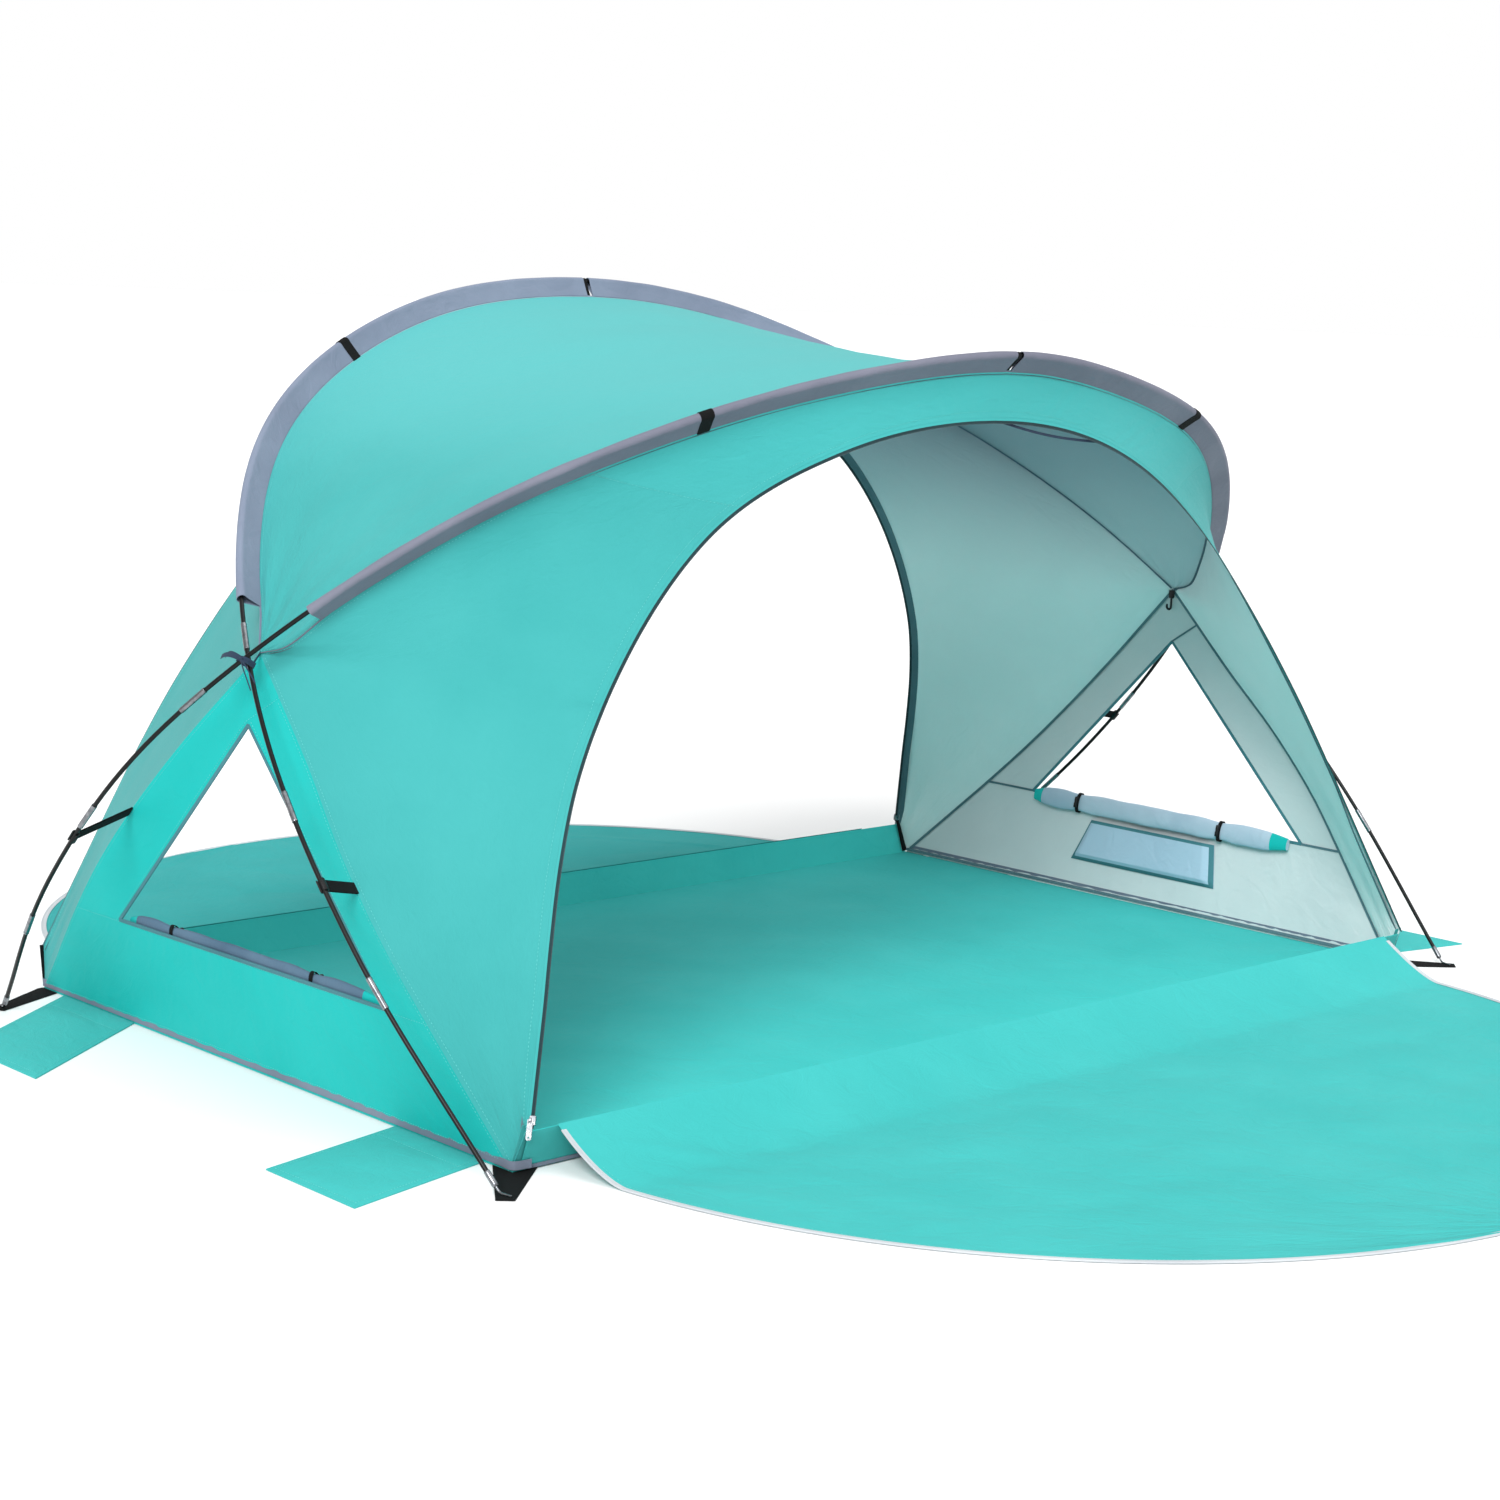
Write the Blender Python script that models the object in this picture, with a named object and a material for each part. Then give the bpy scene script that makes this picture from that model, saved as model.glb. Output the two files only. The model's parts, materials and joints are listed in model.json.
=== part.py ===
"""A two-pole beach tent: two crossing hoops, a sewn canopy, a floor with sills, and two unzipped doors."""

import math

import bmesh
import bpy
import numpy as np
from mathutils import Matrix, Vector

# Driving sizes, in metres. +X is the tent's right, -Y its front, +Z up.
floor_width = 2.40
floor_depth = 1.42
front_arch_height = 1.264
rear_arch_height = 1.371
cloth = 0.002
clearance = 0.0003
seam_gap = 0.0005
sill_height = 0.070
sill_lean = 0.022
sleeve_width = 0.038
pole_radius = 0.0040
pole_bore = 0.0026
cord_radius = 0.0014
ferrule_radius = 0.0052
ferrule_length = 0.058
webbing = 0.0016
zip_width = 0.010
zip_thickness = 0.0022

half_width = floor_width / 2
half_depth = floor_depth / 2
dome_centre_share = 0.4
dome_centre = np.array([0.0, 0.0, dome_centre_share * front_arch_height])

# Each row is a point of a left-hand line: x as a share of the floor's half width,
# y of its half depth and z of the arch height that the line belongs to.
front_arch_shares = (
    (-1.114, 0.869, 0.0), (-1.172, 0.477, 0.229), (-1.149, 0.130, 0.4375), (-1.033, -0.193, 0.621),
    (-0.845, -0.475, 0.780), (-0.603, -0.694, 0.895), (-0.310, -0.804, 0.968), (0.0, -0.863, 1.0),
)
rear_arch_shares = (
    (-1.068, -1.108, 0.0), (-1.112, -0.659, 0.241), (-1.0875, -0.256, 0.454), (-0.9825, 0.120, 0.638),
    (-0.812, 0.451, 0.786), (-0.578, 0.692, 0.896), (-0.302, 0.815, 0.974), (0.0, 0.837, 1.0),
)
front_ridge_shares = ((-1.035, -0.321, 0.4335), (-1.052, -0.555, 0.296), (-1.0, -1.0, 0.0))
rear_ridge_shares = ((-1.058, 0.259, 0.4035), (-1.058, 0.570, 0.234), (-1.0, 1.0, 0.0))
front_door_edge_shares = (
    (-0.801, -0.794, 0.483), (-0.551, -0.728, 0.7555), (-0.296, -0.770, 0.872), (0.0, -0.800, 0.911),
)
rear_door_edge_shares = (
    (-0.8375, 0.772, 0.449), (-0.605, 0.689, 0.715), (-0.321, 0.711, 0.864), (0.0, 0.738, 0.8985),
)
# The canopy's side corner, from the inner of the two rods where they cross.
crossing_reach = (0.0390, 0.0286, 0.0125)
# The doorway's edge starts above the end of the sill's top.
doorway_inset = 0.0084
doorway_rise = 0.006
# Heights at which both ridges are cut into the same levels, as shares of the crossing's height.
ridge_level_shares = (0.0, 0.09, 0.18, 0.28, 0.43, 0.60, 0.77, 0.90, 1.0)
seam_level, extension_level = 3, 7
# The roof starts this share of the way from the crossing to the seam's first corner.
roof_start_share = 0.15
joint_station = 8


def clear_scene():
    for item in list(bpy.data.objects):
        bpy.data.objects.remove(item, do_unlink=True)


def material(name, colour, roughness, metallic=0.0):
    made = bpy.data.materials.get(name)
    if made is None:
        made = bpy.data.materials.new(name)
        made.use_nodes = True
        shader = made.node_tree.nodes["Principled BSDF"]
        shader.inputs["Base Color"].default_value = (*colour, 1.0)
        shader.inputs["Roughness"].default_value = roughness
        shader.inputs["Metallic"].default_value = metallic
    return made


def teal_cloth():
    return material("teal_cloth", (0.08, 0.60, 0.57), 0.7)


def side_cloth():
    return material("side_cloth", (0.03, 0.57, 0.54), 0.7)


def grey_cloth():
    return material("grey_cloth", (0.20, 0.24, 0.33), 0.8)


def pocket_cloth():
    return material("pocket_cloth", (0.28, 0.45, 0.58), 0.8)


def black_webbing():
    return material("black_webbing", (0.012, 0.012, 0.013), 0.85)


def black_plastic():
    return material("black_plastic", (0.015, 0.015, 0.016), 0.45)


def black_rod():
    return material("black_rod", (0.012, 0.013, 0.014), 0.35)


def bright_steel():
    return material("bright_steel", (0.75, 0.76, 0.77), 0.3, 1.0)


def white_elastic():
    return material("white_elastic", (0.80, 0.80, 0.78), 0.8)


def unit(vector):
    vector = np.asarray(vector, float)
    return vector / np.linalg.norm(vector, axis=-1, keepdims=True)


def mirrored(points):
    return np.asarray(points, float) * np.array([-1.0, 1.0, 1.0])


def placed(shares, height):
    """Points in metres from a table of shares."""
    return np.array(shares, float) * np.array([half_width, half_depth, height])


def smooth(points, count=240):
    """A curve through the points that takes its direction at each from its neighbours."""
    points = np.asarray(points, float)
    padded = np.vstack([2 * points[0] - points[1], points, 2 * points[-1] - points[-2]])
    steps = np.sqrt(np.linalg.norm(np.diff(padded, axis=0), axis=1))
    knots = np.concatenate([[0.0], np.cumsum(steps)])
    out = []
    for i in range(1, len(padded) - 2):
        t0, t1, t2, t3 = knots[i - 1:i + 3]
        p0, p1, p2, p3 = padded[i - 1:i + 3]
        for t in np.linspace(t1, t2, count, endpoint=False):
            a1 = (t1 - t) / (t1 - t0) * p0 + (t - t0) / (t1 - t0) * p1
            a2 = (t2 - t) / (t2 - t1) * p1 + (t - t1) / (t2 - t1) * p2
            a3 = (t3 - t) / (t3 - t2) * p2 + (t - t2) / (t3 - t2) * p3
            b1 = (t2 - t) / (t2 - t0) * a1 + (t - t0) / (t2 - t0) * a2
            b2 = (t3 - t) / (t3 - t1) * a2 + (t - t1) / (t3 - t1) * a3
            out.append((t2 - t) / (t2 - t1) * b1 + (t - t1) / (t2 - t1) * b2)
    out.append(points[-1])
    return np.array(out)


def lengths(points):
    return np.concatenate([[0.0], np.cumsum(np.linalg.norm(np.diff(points, axis=0), axis=1))])


def at_length(points, length):
    """The point, or points, at a distance along a polyline."""
    run = lengths(points)
    return np.stack([np.interp(length, run, points[:, k]) for k in range(3)], axis=-1)


def whole(half):
    """A left half, which ends at x = 0, joined to its mirror image."""
    return np.vstack([half, mirrored(half[:-1])[::-1]])


def inward(points):
    """The unit direction from a point of the canopy towards the middle of the room."""
    return unit(dome_centre - np.asarray(points, float))


def frames_along(path, reference):
    """For each point of a path its side and up directions, square to the path, up nearest the reference."""
    steps = unit(np.diff(path, axis=0))
    tangents = unit(np.vstack([steps[:1], steps[:-1] + steps[1:], steps[-1:]]))
    ups = unit(reference - tangents * np.sum(reference * tangents, axis=1, keepdims=True))
    return np.cross(ups, tangents), ups


def nearest_runs(line, other, steps=60, rounds=5):
    """The distances along two polylines at which they pass nearest to each other."""
    low = np.zeros(2)
    high = np.array([lengths(line)[-1], lengths(other)[-1]])
    for _ in range(rounds):
        first = np.linspace(low[0], high[0], steps)
        second = np.linspace(low[1], high[1], steps)
        gaps = np.linalg.norm(at_length(line, first)[:, None] - at_length(other, second)[None], axis=2)
        i, j = np.unravel_index(np.argmin(gaps), gaps.shape)
        best = np.array([first[i], second[j]])
        reach = 2 * (high - low) / steps
        low, high = best - reach, best + reach
    return best


# The hoops. Each is one polyline that the rod, its cord and its sleeve all follow.
arch_steps = 52


def arch_line(shares, height):
    curve = smooth(whole(placed(shares, height)))
    total = lengths(curve)[-1]
    return at_length(curve, np.linspace(0.0, total, arch_steps + 1))


front_arch = arch_line(front_arch_shares, front_arch_height)
rear_arch = arch_line(rear_arch_shares, rear_arch_height)
left_half = arch_steps // 2
front_crossing_run, rear_crossing_run = nearest_runs(front_arch[:left_half], rear_arch[:left_half])
front_crossing = at_length(front_arch, front_crossing_run)
rear_crossing = at_length(rear_arch, rear_crossing_run)
crossing = max(tuple(front_crossing), tuple(rear_crossing)) + np.array(crossing_reach)


# Distances from the crossing up to the sleeves' mouths.
front_sleeve_lead, rear_sleeve_lead = 0.141, 0.149


def seam_line(line, crossing_run, lead):
    """The canopy's seam under a sleeve: from the left crossing, then a point for each corner of the hoop."""
    first = max(
        np.searchsorted(lengths(front_arch), front_crossing_run),
        np.searchsorted(lengths(rear_arch), rear_crossing_run),
    )
    run = lengths(line)[first:left_half + 1]
    corners = line[first:left_half + 1]
    ups = frames_along(line, -inward(line))[1][first:left_half + 1]
    deeper = np.linalg.norm(crossing - at_length(line, crossing_run)) - sleeve_width
    fade = np.maximum(0.0, 1.0 - (run - crossing_run) / lead) ** 2
    seam = corners - ups * (sleeve_width + deeper * fade)[:, None]
    seam[-1, 0] = 0.0
    start = crossing + (seam[0] - crossing) * roof_start_share
    return np.vstack([crossing, start, seam])


front_seam = seam_line(front_arch, front_crossing_run, front_sleeve_lead)
rear_seam = seam_line(rear_arch, rear_crossing_run, rear_sleeve_lead)


def ridge_line(shares):
    """A ridge from its floor corner up to the crossing, cut at the shared levels."""
    curve = smooth(np.vstack([crossing, placed(shares, front_arch_height)])[::-1])
    foot = cloth + 2 * clearance
    heights = foot + (crossing[2] - foot) * np.array(ridge_level_shares)
    cut = np.stack([np.interp(heights, curve[:, 2], curve[:, k]) for k in range(3)], axis=-1)
    cut[-1] = crossing
    return cut


front_ridge = ridge_line(front_ridge_shares)
rear_ridge = ridge_line(rear_ridge_shares)
zip_straight = 0.20


def door_edge(shares, height, outer):
    """The doorway's edge, with as many stations as the outer line has. Its first run is straight."""
    way = math.copysign(1.0, shares[0][1])
    start = (doorway_inset - half_width, way * (half_depth + sill_lean), sill_height + doorway_rise)
    curve = smooth(whole(np.vstack([start, placed(shares, height)])))
    curve = curve[:len(curve) // 2 + 1]
    curve[-1, 0] = 0.0
    total = lengths(curve)[-1]
    part = lengths(outer) / lengths(outer)[-1] * total
    edge = at_length(curve, part)
    knee = np.argmin(np.abs(part - zip_straight))
    for i in range(1, knee):
        edge[i] = edge[0] + (edge[knee] - edge[0]) * part[i] / part[knee]
    return edge


front_outer = np.vstack([front_ridge, front_seam[1:]])
rear_outer = np.vstack([rear_ridge, rear_seam[1:]])
front_inner = door_edge(front_door_edge_shares, front_arch_height, front_outer)
rear_inner = door_edge(rear_door_edge_shares, rear_arch_height, rear_outer)


def add_object(name, vertices, faces, finish, flat=False):
    mesh = bpy.data.meshes.new(name)
    mesh.from_pydata([tuple(map(float, v)) for v in vertices], [], faces)
    form = bmesh.new()
    form.from_mesh(mesh)
    bmesh.ops.recalc_face_normals(form, faces=form.faces)
    if form.calc_volume(signed=True) < 0:
        bmesh.ops.reverse_faces(form, faces=form.faces)
    bmesh.ops.triangulate(form, faces=form.faces)
    form.to_mesh(mesh)
    form.free()
    if not flat:
        mesh.shade_smooth()
        mesh.set_sharp_from_angle(angle=math.radians(40))
    made = bpy.data.objects.new(name, mesh)
    bpy.context.scene.collection.objects.link(made)
    mesh.materials.append(finish)
    return made


def pivoted(made, pivot):
    """Moves an object's origin to its joint, and leaves its shape where it is."""
    pivot = Vector([float(v) for v in pivot])
    move = made.matrix_world.inverted() @ pivot
    made.data.transform(Matrix.Translation(-move))
    made.matrix_world = made.matrix_world @ Matrix.Translation(move)
    return made


def joined(body, extra):
    """Adds a second mesh to a body by an exact union, and hides the second."""
    extra.hide_render = True
    extra.display_type = "WIRE"
    union = body.modifiers.new("join", "BOOLEAN")
    union.operation = "UNION"
    union.solver = "EXACT"
    union.object = extra


def closed_sheet(name, outer, inner, finish):
    """A closed solid between two equal grids of points."""
    rows, columns = outer.shape[:2]
    vertices = np.vstack([outer.reshape(-1, 3), inner.reshape(-1, 3)])
    back = rows * columns

    def at(i, j):
        return i * columns + j

    faces = []
    for i in range(rows - 1):
        for j in range(columns - 1):
            quad = (at(i, j), at(i + 1, j), at(i + 1, j + 1), at(i, j + 1))
            faces.append(quad)
            faces.append(tuple(back + k for k in reversed(quad)))
    rim = [at(0, j) for j in range(columns)] + [at(i, columns - 1) for i in range(1, rows)]
    rim += [at(rows - 1, j) for j in reversed(range(columns - 1))]
    rim += [at(i, 0) for i in reversed(range(1, rows - 1))]
    for a, b in zip(rim, rim[1:] + rim[:1]):
        faces.append((a, b, back + b, back + a))
    return add_object(name, vertices, faces, finish)


def drawn_in(grid, by):
    """The grid with its four borders moved in along its own lines, to leave a seam's gap."""
    grid = grid.copy()
    for near, far in ((0, 1), (-1, -2)):
        grid[near] = grid[near] + unit(grid[far] - grid[near]) * by
    for near, far in ((0, 1), (-1, -2)):
        grid[:, near] = grid[:, near] + unit(grid[:, far] - grid[:, near]) * by
    return grid


def cloth_panel(name, grid, finish):
    """A sewn panel: the outer face on the grid, the thickness towards the room, so edges are mitred."""
    outer = drawn_in(grid, seam_gap)
    return closed_sheet(name, outer, outer + inward(outer) * cloth, finish)


def ruled(first, second, steps, sag=0.0):
    """A grid between two lines, with an even sag towards the room in the middle."""
    across = np.linspace(0.0, 1.0, steps + 1)
    grid = np.stack([first + (second - first) * t for t in across], axis=1)
    dip = sag * np.sin(np.pi * across)[None, :, None]
    span = np.linalg.norm(second - first, axis=-1)[:, None, None]
    return grid + inward(grid) * dip * span


face_steps, roof_steps = 4, 6
face_sag_share, roof_sag_share = 0.02, 0.02


def face_panels(prefix, outer, inner):
    """The three panels of one face: left, centre and right, round the doorway."""
    grid = ruled(outer, inner, face_steps, face_sag_share)
    joint = len(ridge_level_shares) - 1 + joint_station
    left = grid[:joint + 1]
    half = grid[joint:]
    centre = np.concatenate([half, mirrored(half[:-1])[::-1]])
    cloth_panel(prefix + "_panel_left", left, teal_cloth())
    cloth_panel(prefix + "_panel_centre", centre, teal_cloth())
    cloth_panel(prefix + "_panel_right", mirrored(left), teal_cloth())


def roof_panel():
    front, rear = whole(front_seam)[1:-1], whole(rear_seam)[1:-1]
    cloth_panel("roof_panel", ruled(front, rear, roof_steps, roof_sag_share), teal_cloth())


window_front_share, window_rear_share = 0.10, 0.86
window_apex_level_share, window_apex_share = 0.835, 0.51
lower_column_shares = (0.0, window_front_share, 0.36, 0.61, window_rear_share, 1.0)
strip_steps = 2


def wall_point(level, across):
    """A point of the left wall: level is a share of the crossing's height, across runs from front to rear."""
    levels = np.array(ridge_level_shares)
    front = np.array([np.interp(level, levels, front_ridge[:, k]) for k in range(3)])
    rear = np.array([np.interp(level, levels, rear_ridge[:, k]) for k in range(3)])
    return front + (rear - front) * across


def window_edges():
    """The window's front edge and rear edge, from its sill to its apex."""
    sill_share = ridge_level_shares[seam_level]
    apex = wall_point(window_apex_level_share, window_apex_share)
    count = extension_level - seam_level
    rise = np.linspace(0.0, 1.0, count + 1)[:, None]
    front = wall_point(sill_share, window_front_share)
    rear = wall_point(sill_share, window_rear_share)
    return front + (apex - front) * rise, rear + (apex - rear) * rise


def side_panels(side, turn):
    """A side wall: its lower strip, and the two strips that frame the window."""
    front_edge, rear_edge = window_edges()
    low_front, low_rear = front_ridge[:seam_level + 1], rear_ridge[:seam_level + 1]
    lower = np.stack([low_front + (low_rear - low_front) * t for t in lower_column_shares], axis=1)
    front_strip = ruled(front_ridge[seam_level:extension_level + 1], front_edge, strip_steps)
    inner = np.vstack([rear_edge, front_ridge[extension_level:extension_level + 1]])
    rear_strip = ruled(rear_ridge[seam_level:], inner, strip_steps)
    cloth_panel("side_lower_" + side, turn(lower), side_cloth())
    cloth_panel("side_front_strip_" + side, turn(front_strip), side_cloth())
    cloth_panel("side_rear_strip_" + side, turn(rear_strip), side_cloth())


sill_inset = 0.014
sill_rise_shares = (1.0, 0.5, 0.0)


def floor_sheet():
    """The floor and its front and rear sills, as one sheet bent up at both doorways."""
    front = [(-half_depth - sill_lean * r, sill_height * r) for r in sill_rise_shares]
    outer = front + [(-y, z) for y, z in reversed(front)]
    inner = [(y - math.copysign(cloth, y), max(z, cloth)) for y, z in outer]
    vertices = []
    for line in (inner, outer):
        for sign in (-1.0, 1.0):
            for y, z in line:
                x = half_width if z <= cloth else half_width - sill_inset
                vertices.append((sign * x, y, z))
    count = len(outer)
    faces = []
    for k in range(count - 1):
        faces.append((k, k + 1, count + k + 1, count + k))
        faces.append((2 * count + k, 3 * count + k, 3 * count + k + 1, 2 * count + k + 1))
        faces.append((k, 2 * count + k, 2 * count + k + 1, k + 1))
        faces.append((count + k, count + k + 1, 3 * count + k + 1, 3 * count + k))
    faces.append((0, count, 3 * count, 2 * count))
    faces.append((count - 1, 3 * count - 1, 4 * count - 1, 2 * count - 1))
    add_object("floor", vertices, faces, teal_cloth())


def swept(name, path, reference, outline, finish, bore=None, scales=None):
    """A solid with the outline's section along a path, hollow where a bore outline is given."""
    path = np.asarray(path, float)
    sides, ups = frames_along(path, np.broadcast_to(reference, path.shape))
    scales = np.ones(len(path)) if scales is None else np.asarray(scales)

    def rings(section, grow):
        section = np.asarray(section, float)
        spread = sides[:, None, :] * section[None, :, 0:1] + ups[:, None, :] * section[None, :, 1:2]
        return path[:, None, :] + spread * grow[:, None, None]

    outer = rings(outline, scales)
    count, size = outer.shape[:2]
    vertices = outer.reshape(-1, 3)
    faces = []

    def wall(base):
        for i in range(count - 1):
            for j in range(size):
                k = (j + 1) % size
                faces.append((base + i * size + j, base + i * size + k,
                              base + (i + 1) * size + k, base + (i + 1) * size + j))

    wall(0)
    last = (count - 1) * size
    if bore is None:
        faces.append(tuple(reversed(range(size))))
        faces.append(tuple(last + j for j in range(size)))
    else:
        base = len(vertices)
        vertices = np.vstack([vertices, rings(bore, np.ones(count)).reshape(-1, 3)])
        wall(base)
        for end in (0, last):
            for j in range(size):
                k = (j + 1) % size
                faces.append((end + j, base + end + j, base + end + k, end + k))
    return add_object(name, vertices, faces, finish)


def round_section(radius, sides=8):
    angles = np.arange(sides) * 2 * math.pi / sides + math.pi / sides
    return np.stack([radius * np.cos(angles), radius * np.sin(angles)], axis=1)


def circle(radius, sides, centre=(0.0, 0.0)):
    angles = [2 * math.pi * k / sides for k in range(sides)]
    return [(centre[0] + radius * math.cos(a), centre[1] + radius * math.sin(a)) for a in angles]


def plate(name, loops, thickness, origin, along, up, finish):
    """A flat plate: the first loop is its outline, the others are its holes, in the plane of along and up."""
    drawing = bpy.data.curves.new(name, "CURVE")
    drawing.dimensions = "2D"
    drawing.fill_mode = "BOTH"
    drawing.extrude = thickness / 2
    for loop in loops:
        spline = drawing.splines.new("POLY")
        spline.points.add(len(loop) - 1)
        for point, (x, y) in zip(spline.points, loop):
            point.co = (x, y, 0.0, 1.0)
        spline.use_cyclic_u = True
    sketch = bpy.data.objects.new(name + "_sketch", drawing)
    bpy.context.scene.collection.objects.link(sketch)
    bpy.context.view_layer.update()
    mesh = bpy.data.meshes.new_from_object(sketch.evaluated_get(bpy.context.evaluated_depsgraph_get()))
    bpy.data.objects.remove(sketch, do_unlink=True)
    form = bmesh.new()
    form.from_mesh(mesh)
    bmesh.ops.remove_doubles(form, verts=form.verts, dist=clearance / 100)
    bmesh.ops.recalc_face_normals(form, faces=form.faces)
    form.to_mesh(mesh)
    form.free()
    mesh.name = name
    mesh.materials.clear()
    mesh.materials.append(finish)
    along = unit(along)
    up = unit(np.asarray(up, float) - along * np.dot(up, along))
    normal = np.cross(along, up)
    made = bpy.data.objects.new(name, mesh)
    bpy.context.scene.collection.objects.link(made)
    rows = [[along[k], up[k], normal[k], origin[k]] for k in range(3)]
    made.matrix_world = Matrix([*rows, [0.0, 0.0, 0.0, 1.0]])
    return made


rod_sides, cord_sides = 6, 4
pole_end = 0.018
ferrule_lip = 0.0012
# Distance from the crossing up to the middle of the nearest ferrule, and the ferrules' spacing below it.
front_ferrule_offset, front_ferrule_pitch = -0.114, 0.316
rear_ferrule_offset, rear_ferrule_pitch = 0.061, 0.354
leg_ferrule_count = 3
pin_radius = 0.0019
pin_grip = 0.030
pin_foot = 0.022
pin_way = (1.0, 0.0, 0.4)
cord_slack = 0.008


def stations(line, start, end, extra=()):
    """Distances from start to end: both ends, the line's own corners between them, and the extra ones."""
    margin = 2 * ferrule_radius
    kept = [s for s in lengths(line) if start + margin < s < end - margin]
    kept = [s for s in kept if all(abs(s - e) > margin for e in extra)]
    return np.array(sorted({start, end, *kept, *[e for e in extra if start < e < end]}))


def ferrule_middles(highest, pitch, line):
    """Ferrules on one leg, and those of the hoop between the legs, as distances from the pole's foot."""
    near = [highest - pitch * k for k in reversed(range(leg_ferrule_count))]
    span = lengths(line)[-1] - 2 * highest
    count = round(span / pitch)
    return near, [highest + span / count * k for k in range(1, count)]


def rod(name, line, start, end, middles):
    """A run of hollow rod sections, thicker where a ferrule joins two of them."""
    half = ferrule_length / 2
    marks = []
    for middle in middles:
        marks += [middle - half - ferrule_lip, middle - half, middle + half, middle + half + ferrule_lip]
    where = stations(line, start, end, [m for m in marks if start < m < end])
    in_ferrule = np.array([any(abs(s - m) <= half + ferrule_lip / 4 for m in middles) for s in where])
    radius = np.where(in_ferrule, ferrule_radius, pole_radius)
    path = at_length(line, where)
    swept(name, path, -inward(path), round_section(1.0, rod_sides), black_rod(),
          bore=round_section(pole_bore, rod_sides), scales=radius)


def pole(prefix, line, highest, pitch):
    """One pole: two legs, the hoop between them, and the shock cord inside."""
    total = lengths(line)[-1]
    near, between = ferrule_middles(highest, pitch, line)
    break_at = near[-1] + ferrule_length / 2
    rod(prefix + "_pole_leg_left", line, pole_end, break_at, near)
    rod(prefix + "_pole_hoop", line, break_at + clearance, total - break_at - clearance, between)
    rod(prefix + "_pole_leg_right", mirrored(line), pole_end, break_at, near)
    tail = pole_end + pin_grip + cord_slack
    path = at_length(line, stations(line, tail, total - tail))
    swept(prefix + "_pole_cord", path, -inward(path), round_section(cord_radius, cord_sides), white_elastic())


def pin(name, line, turn):
    """A bent steel pin: its shank is in the pole's end, and its foot lies on the corner strap."""
    run = line[1] - line[0]
    drop = -unit(run)
    height = webbing + clearance + pin_radius
    end = at_length(line, pole_end)
    foot = end + drop * (end[2] - height) / -drop[2]
    flat = unit(run * np.array([-1.0, -1.0, 0.0]))
    toe = foot + flat * pin_foot
    path = np.array([at_length(line, pole_end + pin_grip), end, foot, toe])
    swept(name, turn(path), np.array(pin_way), round_section(pin_radius), bright_steel())
    return foot, toe


strap_base = 0.050
strap_heel = 0.012
strap_tip = 0.030
strap_reach = 0.008
strap_gap = 2 * clearance + webbing * sill_lean / sill_height


def corner_strap(name, foot, toe, front, turn):
    """A webbing gusset from the floor's corner out to beneath the pin."""
    way = -1.0 if front else 1.0
    corner = np.array([-half_width - clearance, way * (half_depth + strap_gap)])
    start = corner - np.array([0.0, way * strap_base])
    finish = corner + (np.array([strap_base, 0.0]) if front else np.array([-strap_heel, 0.0]))
    middle = (foot[:2] + toe[:2]) / 2
    reach = unit(toe[:2] - corner)
    across = np.array([-reach[1], reach[0]]) * strap_tip / 2
    if np.dot(across, start - finish) < 0:
        across = -across
    far = middle + reach * (pin_foot / 2 + strap_reach)
    outline = [corner, finish, far - across, far + across, start]
    vertices = [(p[0], p[1], 0.0) for p in outline] + [(p[0], p[1], webbing) for p in outline]
    count = len(outline)
    faces = [tuple(reversed(range(count))), tuple(range(count, 2 * count))]
    faces += [(k, (k + 1) % count, count + (k + 1) % count, count + k) for k in range(count)]
    add_object(name, turn(vertices), faces, black_webbing(), flat=True)


sleeve_slack = 0.0028
sleeve_bore = pole_radius + sleeve_slack
sleeve_wall = 0.0011
sleeve_tip = 0.0012
sleeve_floor_shares = (0.5, 0.96)
sleeve_centre_gap = 0.016


def sleeve_section():
    """A teardrop: round over the pole, and drawn to a flat edge at the canopy's seam."""
    tail = -(sleeve_width - 3 * clearance)
    c = math.cos(math.pi / 4)
    b = sleeve_bore
    r = b + sleeve_wall
    outline = [(0.0, r), (-r * c, r * c), (-r, 0.0), (-sleeve_tip, tail),
               (sleeve_tip, tail), (r, 0.0), (r * c, r * c)]
    low, deep = b * sleeve_floor_shares[0], b * sleeve_floor_shares[1]
    bore = [(0.0, b), (-b * c, b * c), (-b, 0.0), (-low, -deep), (low, -deep), (b, 0.0), (b * c, b * c)]
    return outline, bore


def sleeves(prefix, line, start):
    outline, bore = sleeve_section()
    middle = lengths(line)[-1] / 2
    path = at_length(line, stations(line, start, middle - sleeve_centre_gap / 2))
    for side, run in (("left", path), ("right", mirrored(path))):
        swept(f"{prefix}_sleeve_{side}", run, -inward(run), outline, grey_cloth(), bore=bore)


def tab(name, first, second, thickness_way, finish):
    """A straight piece of webbing between two short lines."""
    step = unit(thickness_way) * webbing / 2
    grid = np.stack([first, second], axis=1)
    return closed_sheet(name, grid + step, grid - step, finish)


tie_gap = 0.0006
tie_width = 0.010
tie_room = 0.0027
tie_wall = 0.0014
tie_corner = 0.0025
tie_seat = 0.0008


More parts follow.
